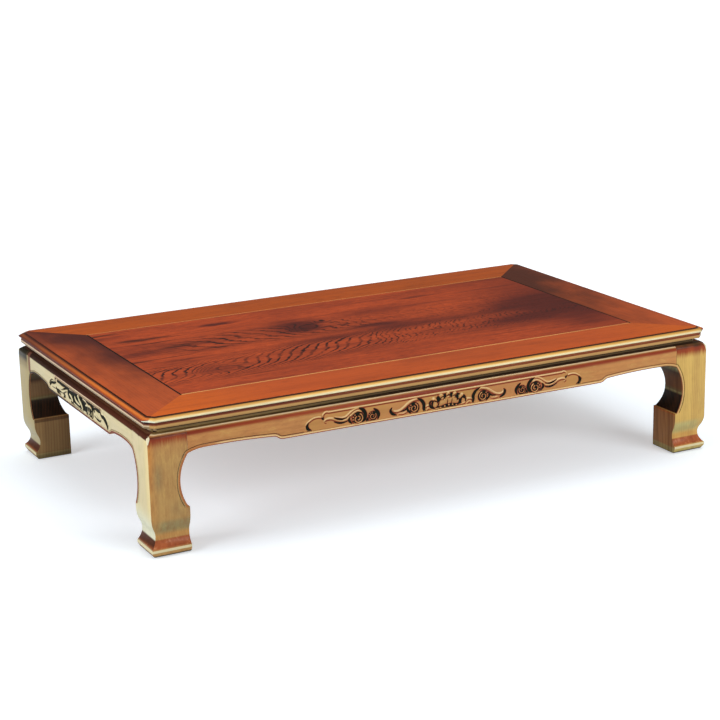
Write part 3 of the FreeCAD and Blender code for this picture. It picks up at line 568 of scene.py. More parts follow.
def base_finish(base, name, along, seed):
    """Tan timber of the base, with a red shoulder, dark glaze and painted shade in what is sunk, painted shade on the
    inner sides, painted pale light on the left and right faces, and painted highlights on crests, edges and facets.
    """
    wood = Timber(name, along, seed, 0.0064, 0.013)
    x, y, z, from_end, from_side = places(wood)
    is_leg = along == "z"
    up, arris = z - BASE_TOP, from_end.most(from_side) - base.face_inset
    normal_x, normal_y, _ = wood.axes(wood.facing)
    sides, flank = abs(normal_x).span(0.55, 0.80), (from_side - from_end).span(-0.001, 0.001)
    inward = (normal_x * x.maths("SIGN")).least(normal_y * y.maths("SIGN")) * -1.0
    # Painted light: the right half is painted differently from the left, with the right legs' front faces lighter and
    # golder and their painted highlights weaker.
    right = x.span(-0.4, 0.4)
    left, back_left = 1 - right, y.span(-0.1, 0.1) * (1 - right)
    streak, mottle = wood.streak.span(0.30, 0.72), wood.mottle
    haze = wood.noise((5.0, 5.0, 5.5), 1.6, shift=(0.3, 0.1, 0.4)).span(0.46, 0.68)

    # Faces: the left and right faces are painted pale, as painted light and reflection
    if is_leg:
        olive_band = z.band(0.054, 0.082, 0.007) * (0.75 + haze * 0.25) * (from_end.span(0.012, 0.036) * 0.8 + 0.2)
        lamination = abs(abs(x) - 0.706).fade(0.0002, 0.0012)
        # Painted highlight along the arris of the legs' front faces, faint on the right legs.
        arris_highlight = arris.fade(0.003, 0.020) * z.span(0.05, 0.11) * (z.span(0.12, 0.24) * 0.6 + 0.4)
        shaded = z.band(0.160, 0.208, 0.020) * from_end.band(0.016, 0.032, 0.010) * left
        front = wood.layers(
            base.leg_tan,
            (right, base.leg_gold),
            (haze * (0.62 - right * 0.54), base.leg_olive),
            (z.span(0.20, 0.27) * 0.45 * left, (184, 120, 70)),
            (olive_band, wood.mix(right, base.foot_olive, (186, 182, 124))),
            (z.band(0.040, 0.050, 0.006) * 0.4, base.edge_orange),
            (lamination * right * 0.35, base.timber_vein),
            (arris_highlight * (0.9 - right * 0.85), base.edge_orange),
            (shaded * (0.6 + haze * 0.2), (122, 114, 84)),
        )
        # Painted highlight: a cream line along the arris of the legs' side faces, which also turn whiter towards the
        # foot.
        ends = ((arris.fade(0.004, 0.030) * 0.7, (236, 212, 152)), (z.fade(0.06, 0.12), (222, 220, 192)))
        behind = ((back_left * 0.75, (164, 146, 100)),)
    else:
        front = wood.mix(haze * 0.30, base.timber_tan, base.leg_gold)
        ends = behind = ()
    veins = streak * 0.26 + wood.late * 0.10 + mottle.span(0.46, 0.72) * (0.30 - right * 0.18)
    front = wood.layers(front, (veins, base.timber_vein), (mottle.fade(0.28, 0.48) * 0.35, base.leg_gold))
    pale = wood.layers(
        base.side_faces_lit_pale, (haze * 0.6, base.side_faces_lit_cream), (streak * 0.18 + wood.late * 0.08, base.pale_shade), *ends,
        (mottle.span(0.48, 0.72) * 0.22, base.pale_shade), *behind,
    )

    # Shoulder: red that runs out raggedly downwards, darker at the sides, and the lines and ledge along its top. The
    # lines are painted highlights, weaker on the right legs; the ledge is painted dark as shade under the neck, lighter
    # at the far left.
    level = up + (wood.streak + wood.cloud - 1.0) * 0.006
    if is_leg:
        shoulder = (level + (wood.fibre - 0.5) * 0.020 + right * 0.004).span(-0.0315, -0.0105)
        # On the legs the shoulder darkens towards its top, as painted shade under the top together with dark glaze; the
        # back-left corner gets more of the same in its marks.
        red = wood.layers(
            base.shoulder_red, (streak * 0.5 + wood.cloud * 0.2, (114, 40, 30)),
            (up.span(-0.013, -0.004) * (0.55 + streak * 0.4), wood.mix(right, (80, 40, 26), (52, 40, 24))),
        )
        back_left = back_left * flank
        back_corner_glaze_and_shade = ((back_left * from_side.fade(0.050, 0.075), (44, 38, 24)),)
        corner = back_left * from_side.fade(0.062, 0.080)
        marks = (
            (back_left * from_side.band(0.079, 0.095, 0.002) * z.span(0.226, 0.236) * 0.85, (122, 78, 62)),
            (corner * z.span(0.224, 0.250) * 0.65, (118, 100, 64)),
            (corner * z.span(0.246, 0.264) * 0.95, (38, 34, 24)),
        )
        line_share, crest_share = 0.7 - right * 0.6, 0.75 - right * 0.7
    else:
        shoulder = level.span(-0.0165, -0.0090)
        red = wood.mix(streak * 0.5 + wood.cloud * 0.2 + 0.14, base.shoulder_red, (114, 40, 30))
        back_corner_glaze_and_shade = ()
        marks = ((flank * up.band(-0.0122, -0.0098, 0.0006) * abs(y).fade(0.160, 0.175) * 0.85, (226, 192, 162)),)
        line_share, crest_share = 0.7, 1.0
    shoulder = shoulder + flank * (level.span(-0.0118, -0.0090) - shoulder)
    side_red = wood.layers(to_back(wood, (86, 42, 26), (54, 30, 18)), (streak * 0.3, (44, 22, 14)), *back_corner_glaze_and_shade)
    ledge = wood.layers(
        (122, 96, 56), (x.span(-0.60, -0.30), (66, 48, 30)), (flank, to_back(wood, (112, 74, 50), (76, 46, 32))),
    )

    # Corner facet with a painted highlight, and the foot's flare and toe
    facet_width = ((z - FACET_FOOT) * 0.34).most(0.0) + 0.001
    facet = (arris - facet_width).fade(0.0, 0.0012) * z.span(FACET_FOOT - 0.0005, FACET_FOOT + 0.0025)
    facet = (facet * up.fade(-0.003, -0.001)).most(diagonal(wood) * z.span(0.200, 0.262) * 0.7)
    flare_tone = wood.layers(
        base.flare_red,
        ((streak * 0.34 + mottle.span(0.46, 0.70) * 0.3).clipped(), (112, 52, 36)),
        (mottle.fade(0.32, 0.46) * 0.5, (206, 142, 98)),
        (sides * 0.90, (66, 38, 27)),
    )
    toe_tone = wood.layers(
        (204, 156, 94), (right, (196, 176, 104)), (streak * 0.4, base.timber_vein), (sides * 0.6, (120, 84, 56)),
    )

    # Dark line painted as shade in the grooves round the sunk field, and the carving and beads
    carved, glaze_and_shade, bead = wood.attribute("carved"), wood.attribute("glaze_and_shade"), wood.attribute("bead")
    near_leg = from_end.least(from_side * 3.0).span(0.10, 0.30)
    groove = (from_side.least(from_end) - base.face_inset).band(0.0004, 0.0019, 0.0003) * (1 - carved)
    groove = groove * z.band(0.110, BASE_TOP - 0.012, 0.001) * inward.fade(0.2, 0.6) * arris.span(0.012, 0.016)
    groove = groove * (0.9 - near_leg * 0.4 - right * 0.2)
    on_leg = bead * (1 - sides) * from_end.fade(0.135, 0.190)
    glaze_and_shade = glaze_and_shade + on_leg * left * (0.46 - glaze_and_shade)
    long_ground = wood.mix(haze * 0.5, base.field_orange, (190, 148, 74))
    side_glaze_and_shadow = wood.mix(z.span(0.253, 0.262), (96, 84, 58), (84, 46, 34))
    # Carving tones: crests painted pale as highlights, the ground, a red painted shadow with glaze under the forms, and
    # dark glaze with painted shade in the cuts.
    carving = wood.layers(
        wood.mix(sides, base.carved_crest_highlight, base.side_faces_lit_cream),
        (glaze_and_shade.span(0.10, 0.33),
         wood.layers(long_ground, (sides, pale), (streak * 0.30 * (1 - sides), base.timber_vein))),
        # Painted shadow under the border along the top of the side fields.
        (sides * z.span(0.2630, 0.2652) * (1 - bead) * 0.8, (140, 112, 82)),
        (glaze_and_shade.span(0.40, 0.56), wood.mix(sides, base.glaze_and_shadow_red, side_glaze_and_shadow)),
        (glaze_and_shade.span(0.58, 0.80), base.cut_glaze_and_shade),
        (on_leg * right, wood.mix(glaze_and_shade.span(0.1, 0.5), (210, 168, 108), (150, 100, 62))),
        (bead * sides, to_back(wood, (128, 62, 42), (38, 22, 15))),
    )
    colour = wood.layers(
        front,
        (sides, pale),
        (wood.pore * 0.3, base.timber_vein),
        (shoulder, wood.mix(flank, red, side_red)),
        *marks,
        (up.band(-0.0046, -0.0016, 0.0010) * (1 - flank) * line_share, (190, 130, 76)),
        (up.band(-0.0026, -0.0007, 0.0006) * (1 - flank) * crest_share, base.crest_highlight_cream),
        (up.span(-0.0007, -0.0002), ledge),
        (facet, base.facet_highlight),
        (z.band(*FLARE, 0.0022), flare_tone),
        (z.band(*TOE_BAND, 0.0005), base.toe_pale),
        (z.fade(TOE_TOP - 0.0005, TOE_TOP + 0.0005), toe_tone),
        (z.fade(TOE_BEVEL - 0.0007, TOE_BEVEL + 0.0007), (92, 80, 54)),
        # Painted shade and reflections on the surfaces that face inwards.
        (inward.span(0.25, 0.75), inner_shade_and_reflection(wood, base, z, streak, left)),
        (groove * (1 - sides * 0.6), wood.mix(sides, (98, 58, 34), (70, 46, 30))),
        (carved, carving),
    )
    matt = (carved * glaze_and_shade.span(0.45, 0.80)).most(flank * z.span(0.268, 0.274))
    return wood.lacquered(colour, matt * 0.30 + 0.42, (1 - sides) * (1 - matt) * 0.07, 0.08)


def inner_shade_and_reflection(wood, base, z, streak, left):
    """Painted shade on the surfaces that face inwards, with painted reflections in level bands on the legs' curved
    sides.
    """
    bands = wood.ramp(z / 0.3, (
        (0.0, (106, 94, 58)), (0.018, (184, 166, 108)), (0.050, (186, 164, 106)), (0.060, (184, 130, 82)),
        (0.335, (180, 122, 76)), (0.346, (206, 120, 62)), (0.357, (186, 106, 58)), (0.362, (26, 22, 16)),
        (0.505, (24, 20, 15)), (0.522, (150, 138, 92)), (0.535, (120, 100, 62)), (0.56, (122, 80, 50)),
        (0.64, (112, 72, 44)), (0.70, (72, 54, 36)), (0.745, (150, 146, 102)), (0.775, (96, 76, 50)),
        (0.84, (58, 38, 26)),
    ))
    return wood.layers(
        bands,
        (left * z.band(0.016, 0.102, 0.002) * 0.75, (146, 122, 80)),
        (left * z.band(0.163, 0.200, 0.008) * 0.80, (124, 98, 66)),
        (left * z.band(0.098, 0.1088, 0.0006) * 0.95, (108, 82, 54)),
        (left * z.band(0.148, 0.158, 0.009) * 0.75, (44, 36, 25)),
        (left * z.span(0.198, 0.216) * 0.85, (60, 46, 32)),
        (left * z.fade(0.008, 0.022) * 0.7, (84, 70, 46)),
        ((streak * (0.45 - left * 0.2) + wood.late * 0.2).clipped(), base.inner_shade_brown),
    )


def inner_finish(name, along, seed):
    """Plain planed timber for the pieces under the top."""
    wood = Timber(name, along, seed, 0.005)
    growth = wood.late * 0.45 + wood.cloud * 0.2
    colour = wood.layers((176, 128, 84), (growth, (128, 82, 48)), (wood.pore * 0.5, (80, 50, 30)))
    return wood.lacquered(colour, 0.62, 0.0, 0.16, 0.00012)


def steel_finish():
    """Zinc-plated steel with fine turning marks."""
    steel = Finish("screw_steel")
    marks = steel.noise((1.0, 1.0, 9.0), 900.0)
    tint = steel.mix(steel.noise((1.0, 1.0, 1.0), 60.0), (186, 182, 168), (150, 148, 144))
    return steel.surface(tint, marks * 0.25 + 0.25, marks, 0.00003, Metallic=1.0)


def felt_finish():
    """Dark pressed felt with matted fibres."""
    felt = Finish("felt")
    fibres = felt.noise((1.0, 1.0, 1.0), 1400.0, 3.0, 0.7, 1.5)
    matted = felt.noise((1.0, 1.0, 1.0), 160.0, 3.0)
    colour = felt.mix(matted * 0.6 + fibres * 0.4, (34, 30, 28), (78, 70, 62))
    return felt.surface(colour, 0.95, fibres, 0.0003, Sheen_Weight=0.3, Sheen_Roughness=0.5)


# ---- mesh helpers


def keep(piece, material, slot, *nodes):
    """Finishes a piece: its material, its body, and hides the nodes it stands for. The slot is not used."""
    piece.data.materials.clear()
    piece.data.materials.append(material)
    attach(piece, ROOT)
    if nodes:
        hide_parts(*nodes)


def paint(node, material):
    """Gives a CAD node its finish."""
    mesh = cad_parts[node].data
    mesh.materials.clear()
    mesh.materials.append(material)


def add_object(name, data):
    """Puts a mesh, a lamp or a camera in the scene."""
    made = bpy.data.objects.new(name, data)
    bpy.context.scene.collection.objects.link(made)
    return made


def add_layer(mesh, name, values):
    """A number for each point of a mesh, for its material to read."""
    mesh.attributes.new(name, "FLOAT", "POINT").data.foreach_set("value", values)


def turned_out(mesh):
    """Turns the faces of a mesh outwards."""
    body = bmesh.new()
    body.from_mesh(mesh)
    bmesh.ops.recalc_face_normals(body, faces=body.faces)
    body.to_mesh(mesh)
    body.free()
    return mesh


def smoothed(piece, sharp):
    """Smooth faces between the edges that are sharper than an angle in degrees."""
    piece.data.shade_smooth()
    piece.data.set_sharp_from_angle(angle=math.radians(sharp))
    return piece


def new_piece(name, body):
    """Object from a bmesh."""
    mesh = bpy.data.meshes.new(name)
    body.to_mesh(mesh)
    body.free()
    return smoothed(add_object(name, mesh), 32)


def flattened(piece):
    """Applies a piece's modifiers."""
    graph = bpy.context.evaluated_depsgraph_get()
    mesh = bpy.data.meshes.new_from_object(piece.evaluated_get(graph))
    piece.modifiers.clear()
    old, piece.data = piece.data, mesh
    bpy.data.meshes.remove(old)
    return piece


def eased_copy(node, name, easing):
    """Copy of a CAD node with its sharp edges rounded."""
    body = bmesh.new()
    body.from_mesh(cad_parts[node].data)
    bmesh.ops.remove_doubles(body, verts=body.verts, dist=2e-6)
    bmesh.ops.dissolve_limit(body, angle_limit=math.radians(0.3), verts=body.verts, edges=body.edges)
    piece = new_piece(name, body)
    normals = piece.data.attributes.get("custom_normal")
    if normals:
        piece.data.attributes.remove(normals)
    bevel = piece.modifiers.new("easing", "BEVEL")
    bevel.width, bevel.segments, bevel.limit_method = easing, 2, "ANGLE"
    bevel.angle_limit, bevel.use_clamp_overlap, bevel.miter_outer = math.radians(38), False, "MITER_ARC"
    return smoothed(flattened(piece), 40)


def arc(start, middle, end, steps=14):
    """Points of the arc through three points, both ends included."""
    (ax, ay), (bx, by), (cx, cy) = start, middle, end
    twice = 2 * (ax * (by - cy) + bx * (cy - ay) + cx * (ay - by))
    a2, b2, c2 = ax * ax + ay * ay, bx * bx + by * by, cx * cx + cy * cy
    ux = (a2 * (by - cy) + b2 * (cy - ay) + c2 * (ay - by)) / twice
    uy = (a2 * (cx - bx) + b2 * (ax - cx) + c2 * (bx - ax)) / twice
    turns = [math.atan2(p[1] - uy, p[0] - ux) for p in (start, middle, end)]
    half = (turns[1] - turns[0] + math.pi) % math.tau - math.pi
    rest = (turns[2] - turns[1] + math.pi) % math.tau - math.pi
    radius = math.hypot(ax - ux, ay - uy)
    angles = [turns[0] + (half + rest) * i / steps for i in range(steps + 1)]
    return [(ux + radius * math.cos(a), uy + radius * math.sin(a)) for a in angles]


def swung(start, centre, end):
    """Middle point of the shorter arc from start to end about a centre."""
    radius = math.dist(start, centre)
    lean = [(s + e) / 2 - c for s, e, c in zip(start, end, centre)]
    size = math.hypot(*lean)
    return centre[0] + lean[0] / size * radius, centre[1] + lean[1] / size * radius


def joined(parts):
    """One line of points from several that follow each other."""
    line = list(parts[0])
    for part in parts[1:]:
        line += part[1:]
    return line


def eased(points, radius, steps=3):
    """Closed outline with its sharp corners rounded."""
    made = []
    for i, here in enumerate(points):
        before, after = Vector(points[i - 1]), Vector(points[(i + 1) % len(points)])
        here = Vector(here)
        to_before, to_after = before - here, after - here
        if to_before.angle(to_after) > math.radians(150):
            made.append(tuple(here))
            continue
        reach = min(radius, to_before.length * 0.4, to_after.length * 0.4)
        start, end = here + to_before.normalized() * reach, here + to_after.normalized() * reach
        for k in range(steps + 1):
            t = k / steps
            made.append(tuple(start * (1 - t) ** 2 + here * 2 * t * (1 - t) + end * t ** 2))
    return made


# ---- top


def edge_outline(top):
    """Section of a rail as (inset, height): moulded outer edge, flat top, and plain inner side and underside."""
    z_bulge = TOP - top.quirk_drop
    z_groove = z_bulge - top.bulge_height
    z_lip = z_groove - top.groove_height
    nose = (top.nose_radius, z_groove + top.nose_radius)
    drop, run = z_bulge - nose[1], top.bulge_inset - top.nose_radius
    sweep = (run ** 2 + drop ** 2 - top.nose_radius ** 2) / (2 * (drop - top.nose_radius))
    centre = (top.bulge_inset, z_bulge - sweep)
    gap = math.dist(centre, nose)
    meet = tuple(c + (n - c) * sweep / gap for c, n in zip(centre, nose))
    under, start = (top.nose_radius, z_groove), (top.bulge_inset, z_bulge)
    lip, foot, flat = top.lip_inset, LIP_FOOT, RAIL_MIDDLE
    face_top, lip_top = (lip, z_lip - LIP_ROUND), (lip + LIP_ROUND, z_lip)
    lip_centre = (lip_top[0], face_top[1])
    return eased([
        (flat, TOP_UNDER), (lip + foot, TOP_UNDER), (lip, TOP_UNDER + foot),
        *arc(face_top, swung(face_top, lip_centre, lip_top), lip_top, 4), (top.groove_inset, z_lip),
        (top.groove_inset, z_groove), *arc(under, swung(under, nose, meet), meet, 6),
        *arc(meet, swung(meet, centre, start), start, 12)[1:],
        (top.quirk_inset, z_bulge), (top.quirk_inset, TOP), (flat, TOP),
        (top.rail_width - top.joint_chamfer, TOP), (top.rail_width, TOP - top.joint_chamfer),
        (top.rail_width, TOP_UNDER),
    ], top.easing)


def rail_ring(inset, clip, is_long):
    """Half a rail's places at one inset, as (along, out): at the mitre, and where the clipped corner begins."""
    reach, out = (HALF_LENGTH, HALF_DEPTH) if is_long else (HALF_DEPTH, HALF_LENGTH)
    mitre = max((clip + inset * math.sqrt(2)) / 2, inset)
    bend = max(clip + inset * (math.sqrt(2) - 1), inset)
    return [(reach - mitre, out - mitre), (reach - bend, out - inset)]


def make_rail(top, side):
    """One rail of the frame, mitred at both ends and clipped at the table's corners."""
    is_long = side in LONG_SIDES
    sign = -1 if side in ("front", "left") else 1
    body = bmesh.new()
    rows = []
    for inset, z in edge_outline(top):
        mitre, bend = rail_ring(inset, top.corner_clip, is_long)
        places = [(-mitre[0], mitre[1]), (-bend[0], bend[1]), bend, mitre]
        spots = [((a, sign * o, z) if is_long else (sign * o, a, z)) for a, o in places]
        rows.append([body.verts.new(spot) for spot in spots])
    for row, following in zip(rows, rows[1:] + rows[:1]):
        for k in range(3):
            body.faces.new((row[k], row[k + 1], following[k + 1], following[k]))
    body.faces.new([row[0] for row in rows])
    body.faces.new([row[3] for row in reversed(rows)])
    bmesh.ops.remove_doubles(body, verts=body.verts, dist=1e-6)
    bmesh.ops.recalc_face_normals(body, faces=body.faces)
    return new_piece("rail_" + side, body)


# ---- base outlines


def opening_line(seam, step_start):
    """Half of the outline under an apron, from the ledge on the leg to the middle, as (across, height)."""
    low, high, seam_z = BASE_TOP - EDGE_LOW, BASE_TOP - EDGE_HIGH, BASE_TOP - EDGE_SEAM
    waist = (seam + 0.020, (LEDGE + seam_z) / 2)
    knee, curve_end = (seam, seam_z), (seam - CURVE_END, high)
    curve_middle = (seam - CURVE_END * 0.4, seam_z + (high - seam_z) * 0.6)
    brow = (seam - step_start, (low + high + 0.005) / 2)
    flat = (brow[0] - STEP_LENGTH, low)
    half_way = ((brow[0] + flat[0]) / 2, (brow[1] + flat[1]) / 2)
    run, fall = (brow[0] - flat[0]) / 2, (brow[1] - flat[1]) / 2
    radius = (run ** 2 + fall ** 2) / (2 * fall)
    upper, lower = (brow[0], brow[1] - radius), (flat[0], flat[1] + radius)
    return joined([
        arc((seam + 0.003, LEDGE), waist, knee, 40),
        arc(knee, curve_middle, curve_end, 20),
        arc(curve_end, ((curve_end[0] + brow[0]) / 2, high), brow, 40),
        arc(brow, swung(brow, upper, half_way), half_way, 8),
        arc(half_way, swung(half_way, lower, flat), flat, 8),
        [flat, (0.0, low)],
    ])


def field_line(carving, half_field):
    """Half of a carved field's outline: the middle of its foot, round the cloud-shaped end, the middle of its top."""
    foot_z = BASE_TOP - carving.bottom_gap
    height = carving.bottom_gap - carving.top_gap

    def spot(across, up):
        return half_field - across * carving.cloud_length, foot_z + up * height

    foot, curl, shoulder = spot(0.105, 0.0), spot(0.0, 0.34), spot(0.14, 0.61)
    back, cusp, neck, tip = spot(0.42, 0.79), spot(0.75, 0.70), spot(0.76, 0.89), spot(1.0, 1.0)
    return joined([
        [(0.0, foot[1]), foot], arc(foot, curl, shoulder), arc(shoulder, back, cusp), arc(cusp, neck, tip),
        [tip, (0.0, tip[1])],
    ])


def shifted(line, offset):
    """A line moved sideways, to the left of its direction."""
    points = np.array(line)
    run = np.gradient(points, axis=0)
    run /= np.linalg.norm(run, axis=1)[:, None] + 1e-12
    return [tuple(p) for p in points + np.stack([-run[:, 1], run[:, 0]], 1) * offset]


def whole(line):
    """A half line and its mirror image, as one line from side to side."""
    return line[:-1] + [(-a, z) for a, z in reversed(line)]


def faces_of(base):
    """For each side: whether it is long, and how a place (across, out from the face, height) lies in the table."""
    near_y, near_x = HALF_DEPTH - base.face_inset, HALF_LENGTH - base.face_inset
    return {
        "front": (True, lambda a, out, z: (a, -near_y - out, z)),
        "back": (True, lambda a, out, z: (-a, near_y + out, z)),
        "left": (False, lambda a, out, z: (-near_x - out, -a, z)),
        "right": (False, lambda a, out, z: (near_x + out, a, z)),
    }


# ---- carving

# Carved strokes of the right half of a field, in millimetres: how high they stand over the ground, and then points
# as (across, height above the floor, half width). Strokes below the ground are cuts.
TAIL = (
    (2, (149, 248.5, 1.2), (146, 242.5, 2), (138, 240.8, 2.4), (128, 242.8, 2.8), (118, 248.5, 3.2), (107, 256, 3.4),
     (95, 260.8, 3.2), (83, 261.6, 3), (75, 258, 2.2)),
    (1.3, (134, 234.5, 1.2), (122, 233.5, 2.2), (112, 237, 2.2), (104, 244, 1.4)),
    (0.8, (120, 229.6, 1), (104, 228.4, 1.5), (90, 228.2, 1)),
    (1.5, (65, 238, 1.6), (58, 241.6, 2.6), (49, 241.8, 2)),
    (1.2, (46, 230, 1.2), (55, 235.5, 2.6), (63, 228.5, 1.2)),
    (-1.4, (150.5, 250.5, 1.2), (154, 244, 3.2), (149, 236, 3.4), (139, 231.4, 1.2)),
    (-1.4, (83, 263, 1.4), (72.5, 256, 3.8), (66.5, 246.5, 4.4), (66.5, 236, 3.6), (63, 225.5, 1.8)),
    (-1, (127, 238.4, 1.2), (116, 240.5, 2), (107, 249, 1.2)),
    (-1.4, (110, 246, 1.4), (109.5, 239, 3), (103, 231, 1.6)),
)
END_LEAF = (
    (1.8, (320.5, 243.2, 1.2), (324, 247, 1.8), (318, 250.9, 2.4), (306, 250.6, 2.8), (295, 245.6, 2.8),
     (283, 241.2, 2.6), (270, 241.6, 2.6), (261, 246.8, 2.8), (251, 254.4, 3), (240, 258.6, 2.6), (229, 255, 1.6)),
    (1.9, (297, 253, 1.2), (285, 249, 2), (274, 248, 2.2), (266, 251.6, 2.4), (257, 258, 2.6), (249, 262.6, 2.6),
     (240, 264.8, 2.6), (231, 263, 1.8)),
    (0.7, (286, 228.8, 0.9), (268, 228.2, 1.3), (248, 228.4, 1.3), (230, 229, 0.9)),
    (-1.2, (299, 251, 0.9), (289, 247, 2.2), (279, 244.8, 2), (267, 246, 0.9)),
    (-1.1, (299, 241.2, 1), (288, 237, 2.2), (277, 236, 2.2), (266, 237.4, 1)),
    (-1.4, (235, 264, 1.4), (225.5, 258.5, 4.2), (219.5, 250, 4.4), (218.5, 241, 3.8), (222.5, 231, 1.6)),
    (-1.3, (259, 247, 1.2), (261, 239, 3.2), (254, 230, 1.4)),
    (-1.4, (197, 256.5, 1.3), (189, 249.5, 3.8), (184.5, 241, 3.8), (187, 231, 1.6)),
    (-1.4, (212.5, 237, 1.6), (215, 231, 3.6), (211, 226.5, 1.6)),
    (-1.4, (363, 248.5, 1.4), (367, 241, 4), (364.6, 234, 4.4), (357, 229.8, 1.6)),
    (-1.4, (329, 257, 1.8), (326.4, 253.2, 2.6), (325.4, 250.6, 1.2)),
)
# The flower in the middle of the long sides
FLOWER = (
    (-0.9, (-33, 243, 15), (-14, 247, 16.5), (14, 247, 16.5), (35, 243, 13)),
    (1.1, (-24, 241, 7), (-8, 246, 9), (8, 246, 9), (21, 241, 6.5)),
    (1.8, (-36, 250, 5.6), (-41, 254.5, 5)),
    (2, (-18, 255.5, 5.8), (-21, 260.5, 5.4)),
    (2.1, (-2, 257.5, 6), (-2, 262, 5.6)),
    (2, (14, 256.5, 5.6), (16, 260.5, 5.4)),
    (1.8, (29, 250.5, 5.4), (34.5, 254, 4.8)),
    (1.6, (45, 241, 4.2), (51, 242, 3.8)),
    (1.5, (-36.5, 240, 7), (-36.5, 243.5, 6)),
    (1.5, (38, 238, 5.2), (38.5, 242, 4.6)),
    (1.9, (-44, 233.4, 1.2), (-33, 230.6, 2), (-24, 230.8, 1.4)),
    (1.9, (27, 231.6, 1.2), (41, 234.4, 2.4), (48.5, 240, 1.4)),
    (-1.4, (-44.5, 251.5, 1.2), (-50, 248, 2.4), (-50.5, 241, 2.6), (-47, 234.6, 2.2), (-38, 230.8, 1)),
    (-1.3, (-28.5, 259.5, 1.4), (-30, 252, 2.4), (-26, 246, 1.2)),
    (-1.3, (-10.5, 262, 1.4), (-11, 254.5, 2.2), (-14, 250, 1)),
    (-1.3, (7.5, 262, 1.6), (7, 255, 2.2), (6, 251, 1)),
    (-1.3, (24.5, 258, 1.6), (24, 250, 2.4), (22.5, 243, 1.2)),
    (-1.2, (31, 237, 0.9), (32.6, 245.4, 1.6), (38, 247.4, 1.6), (44.4, 243.5, 1.8), (45, 236.5, 1.2)),
    (-0.9, (-28, 238, 1.4), (-26.5, 244, 1.2)),
    (-0.4, (-3.6, 250, 0.6), (-4, 243, 1.1), (-4, 238.4, 0.8)),
    (-0.4, (9, 249, 0.6), (8, 243, 1.1), (7, 238.4, 0.8)),
    (-0.9, (-24, 252.5, 0.9), (-17, 256.4, 1.4), (-11, 255.2, 0.9)),
    (-0.9, (-6, 256.8, 0.9), (-1, 258.8, 1.4), (4.6, 256.8, 0.9)),
    (-0.9, (11, 255, 0.9), (16, 256, 1.4), (21, 252.6, 0.9)),
    (-0.9, (-44, 249.6, 0.9), (-38, 249.4, 1.5), (-33, 246.6, 0.9)),
    (-1.2, (-29, 227.8, 1.2), (-17, 230.4, 2.6), (-6, 232, 2.6), (4.5, 232.6, 2.6), (14, 231, 2.6), (26, 226.8, 1.2)),
)
# Small round beads of the flower: place, radius and height
FLOWER_BEADS = (
    (-42, 254.6, 2.8, 2.5), (-21.4, 261.6, 3.1, 2.7), (-2, 264, 3.2, 2.8), (16.2, 261.6, 3.1, 2.7),
    (35.4, 254.4, 2.9, 2.5), (51.4, 242.4, 2.5, 2.3), (-22, 231, 2.5, 2.2), (-11.4, 233.2, 2.6, 2.3),
    (-0.6, 235, 2.7, 2.4), (9.4, 234.4, 2.6, 2.3), (19.4, 231.6, 2.4, 2.2),
)
# The short sides are carved more densely, and differently on their two halves: across grows towards the front left
SHORT_SIDE = (
    (1.7, (-186, 241, 2.8), (-155, 244, 4.6), (-125, 248, 4.6), (-96, 256, 2.8)),
    (1.6, (-135, 241, 1.8), (-106, 244, 3), (-82, 252, 1.8)),
    (1.8, (-56, 250, 2.8), (-43, 245, 4.6), (-35, 238, 2.8)),
    (1.8, (-19, 253, 2.4), (-10, 245, 4), (15, 241, 2.4)),
    (1.9, (3, 261, 2.5), (12, 253, 4.2), (27, 244, 4.2), (35, 236, 2.5)),
    (1.8, (57, 251, 2.4), (80, 256, 4), (90, 253, 2.4)),
    (1.5, (128, 250, 3.3), (154, 243, 3.3)),
    (1.6, (122, 239, 1.8), (143, 235, 1.8)),
    (1.6, (77, 241, 2.2), (75, 230, 3.6), (97, 226, 2.2)),
    (-1.2, (-208, 229, 1.1), (-206, 237, 2.4), (-191, 246, 2.4), (-174, 249, 2.4), (-156, 254, 1.1)),
    (-1, (-148, 259, 1.8), (-130, 261, 4), (-110, 260, 4), (-86, 261, 1.8)),
    (-1.4, (-152, 243, 1.8), (-150, 237, 4), (-142, 231, 4), (-126, 231, 1.8)),
    (-1.4, (-146, 241, 1.2), (-134, 239, 2.6), (-116, 240, 1.2)),
    (-1.3, (-98, 252, 1.4), (-79, 259, 3), (-64, 260, 3), (-60, 255, 1.4)),
    (-1.4, (-61, 252, 1.8), (-65, 244, 4), (-58, 238, 1.8)),
    (-1.2, (-102, 239, 1.3), (-93, 236, 2.8), (-104, 229, 1.3)),
    (-1.4, (-30, 251, 1.9), (-29, 245, 4.2), (-20, 240, 1.9)),
    (-1.4, (-8, 258, 2.6), (-3, 253, 2.6)),
    (-1.4, (18, 263, 2.2), (28, 258, 5), (34, 250, 2.2)),
    (-1.4, (42, 249, 3.4), (48, 244, 3.4)),
    (-1.3, (-50, 233, 1.4), (-36, 229, 3.2), (-18, 226, 3.2), (2, 228, 1.4)),
    (-1.4, (10, 228, 1.6), (22, 226, 3.6), (38, 226, 1.6)),
    (-1.4, (60, 241, 1.7), (62, 233, 3.8), (68, 227, 3.8), (85, 226, 1.7)),
    (-1.4, (90, 259, 1.9), (107, 257, 4.2), (114, 250, 1.9)),
    (-1.3, (86, 247, 1.9), (97, 247, 1.9)),
    (-1.3, (87, 235, 2.4), (94, 230, 2.4)),
    (-0.9, (58, 261, 1.4), (76, 260, 3), (99, 263, 1.4)),
    (-1.2, (116, 258, 1.6), (138, 259, 3.6), (152, 259, 1.6)),
    (-1.4, (152, 259, 1.9), (160, 253, 4.2), (170, 249, 1.9)),
    (-1.4, (160, 255, 2.2), (180, 249, 5), (194, 241, 5.2), (200, 229, 2)),
    (-0.9, (113, 240, 1), (134, 236, 2.2), (153, 236, 1)),
)
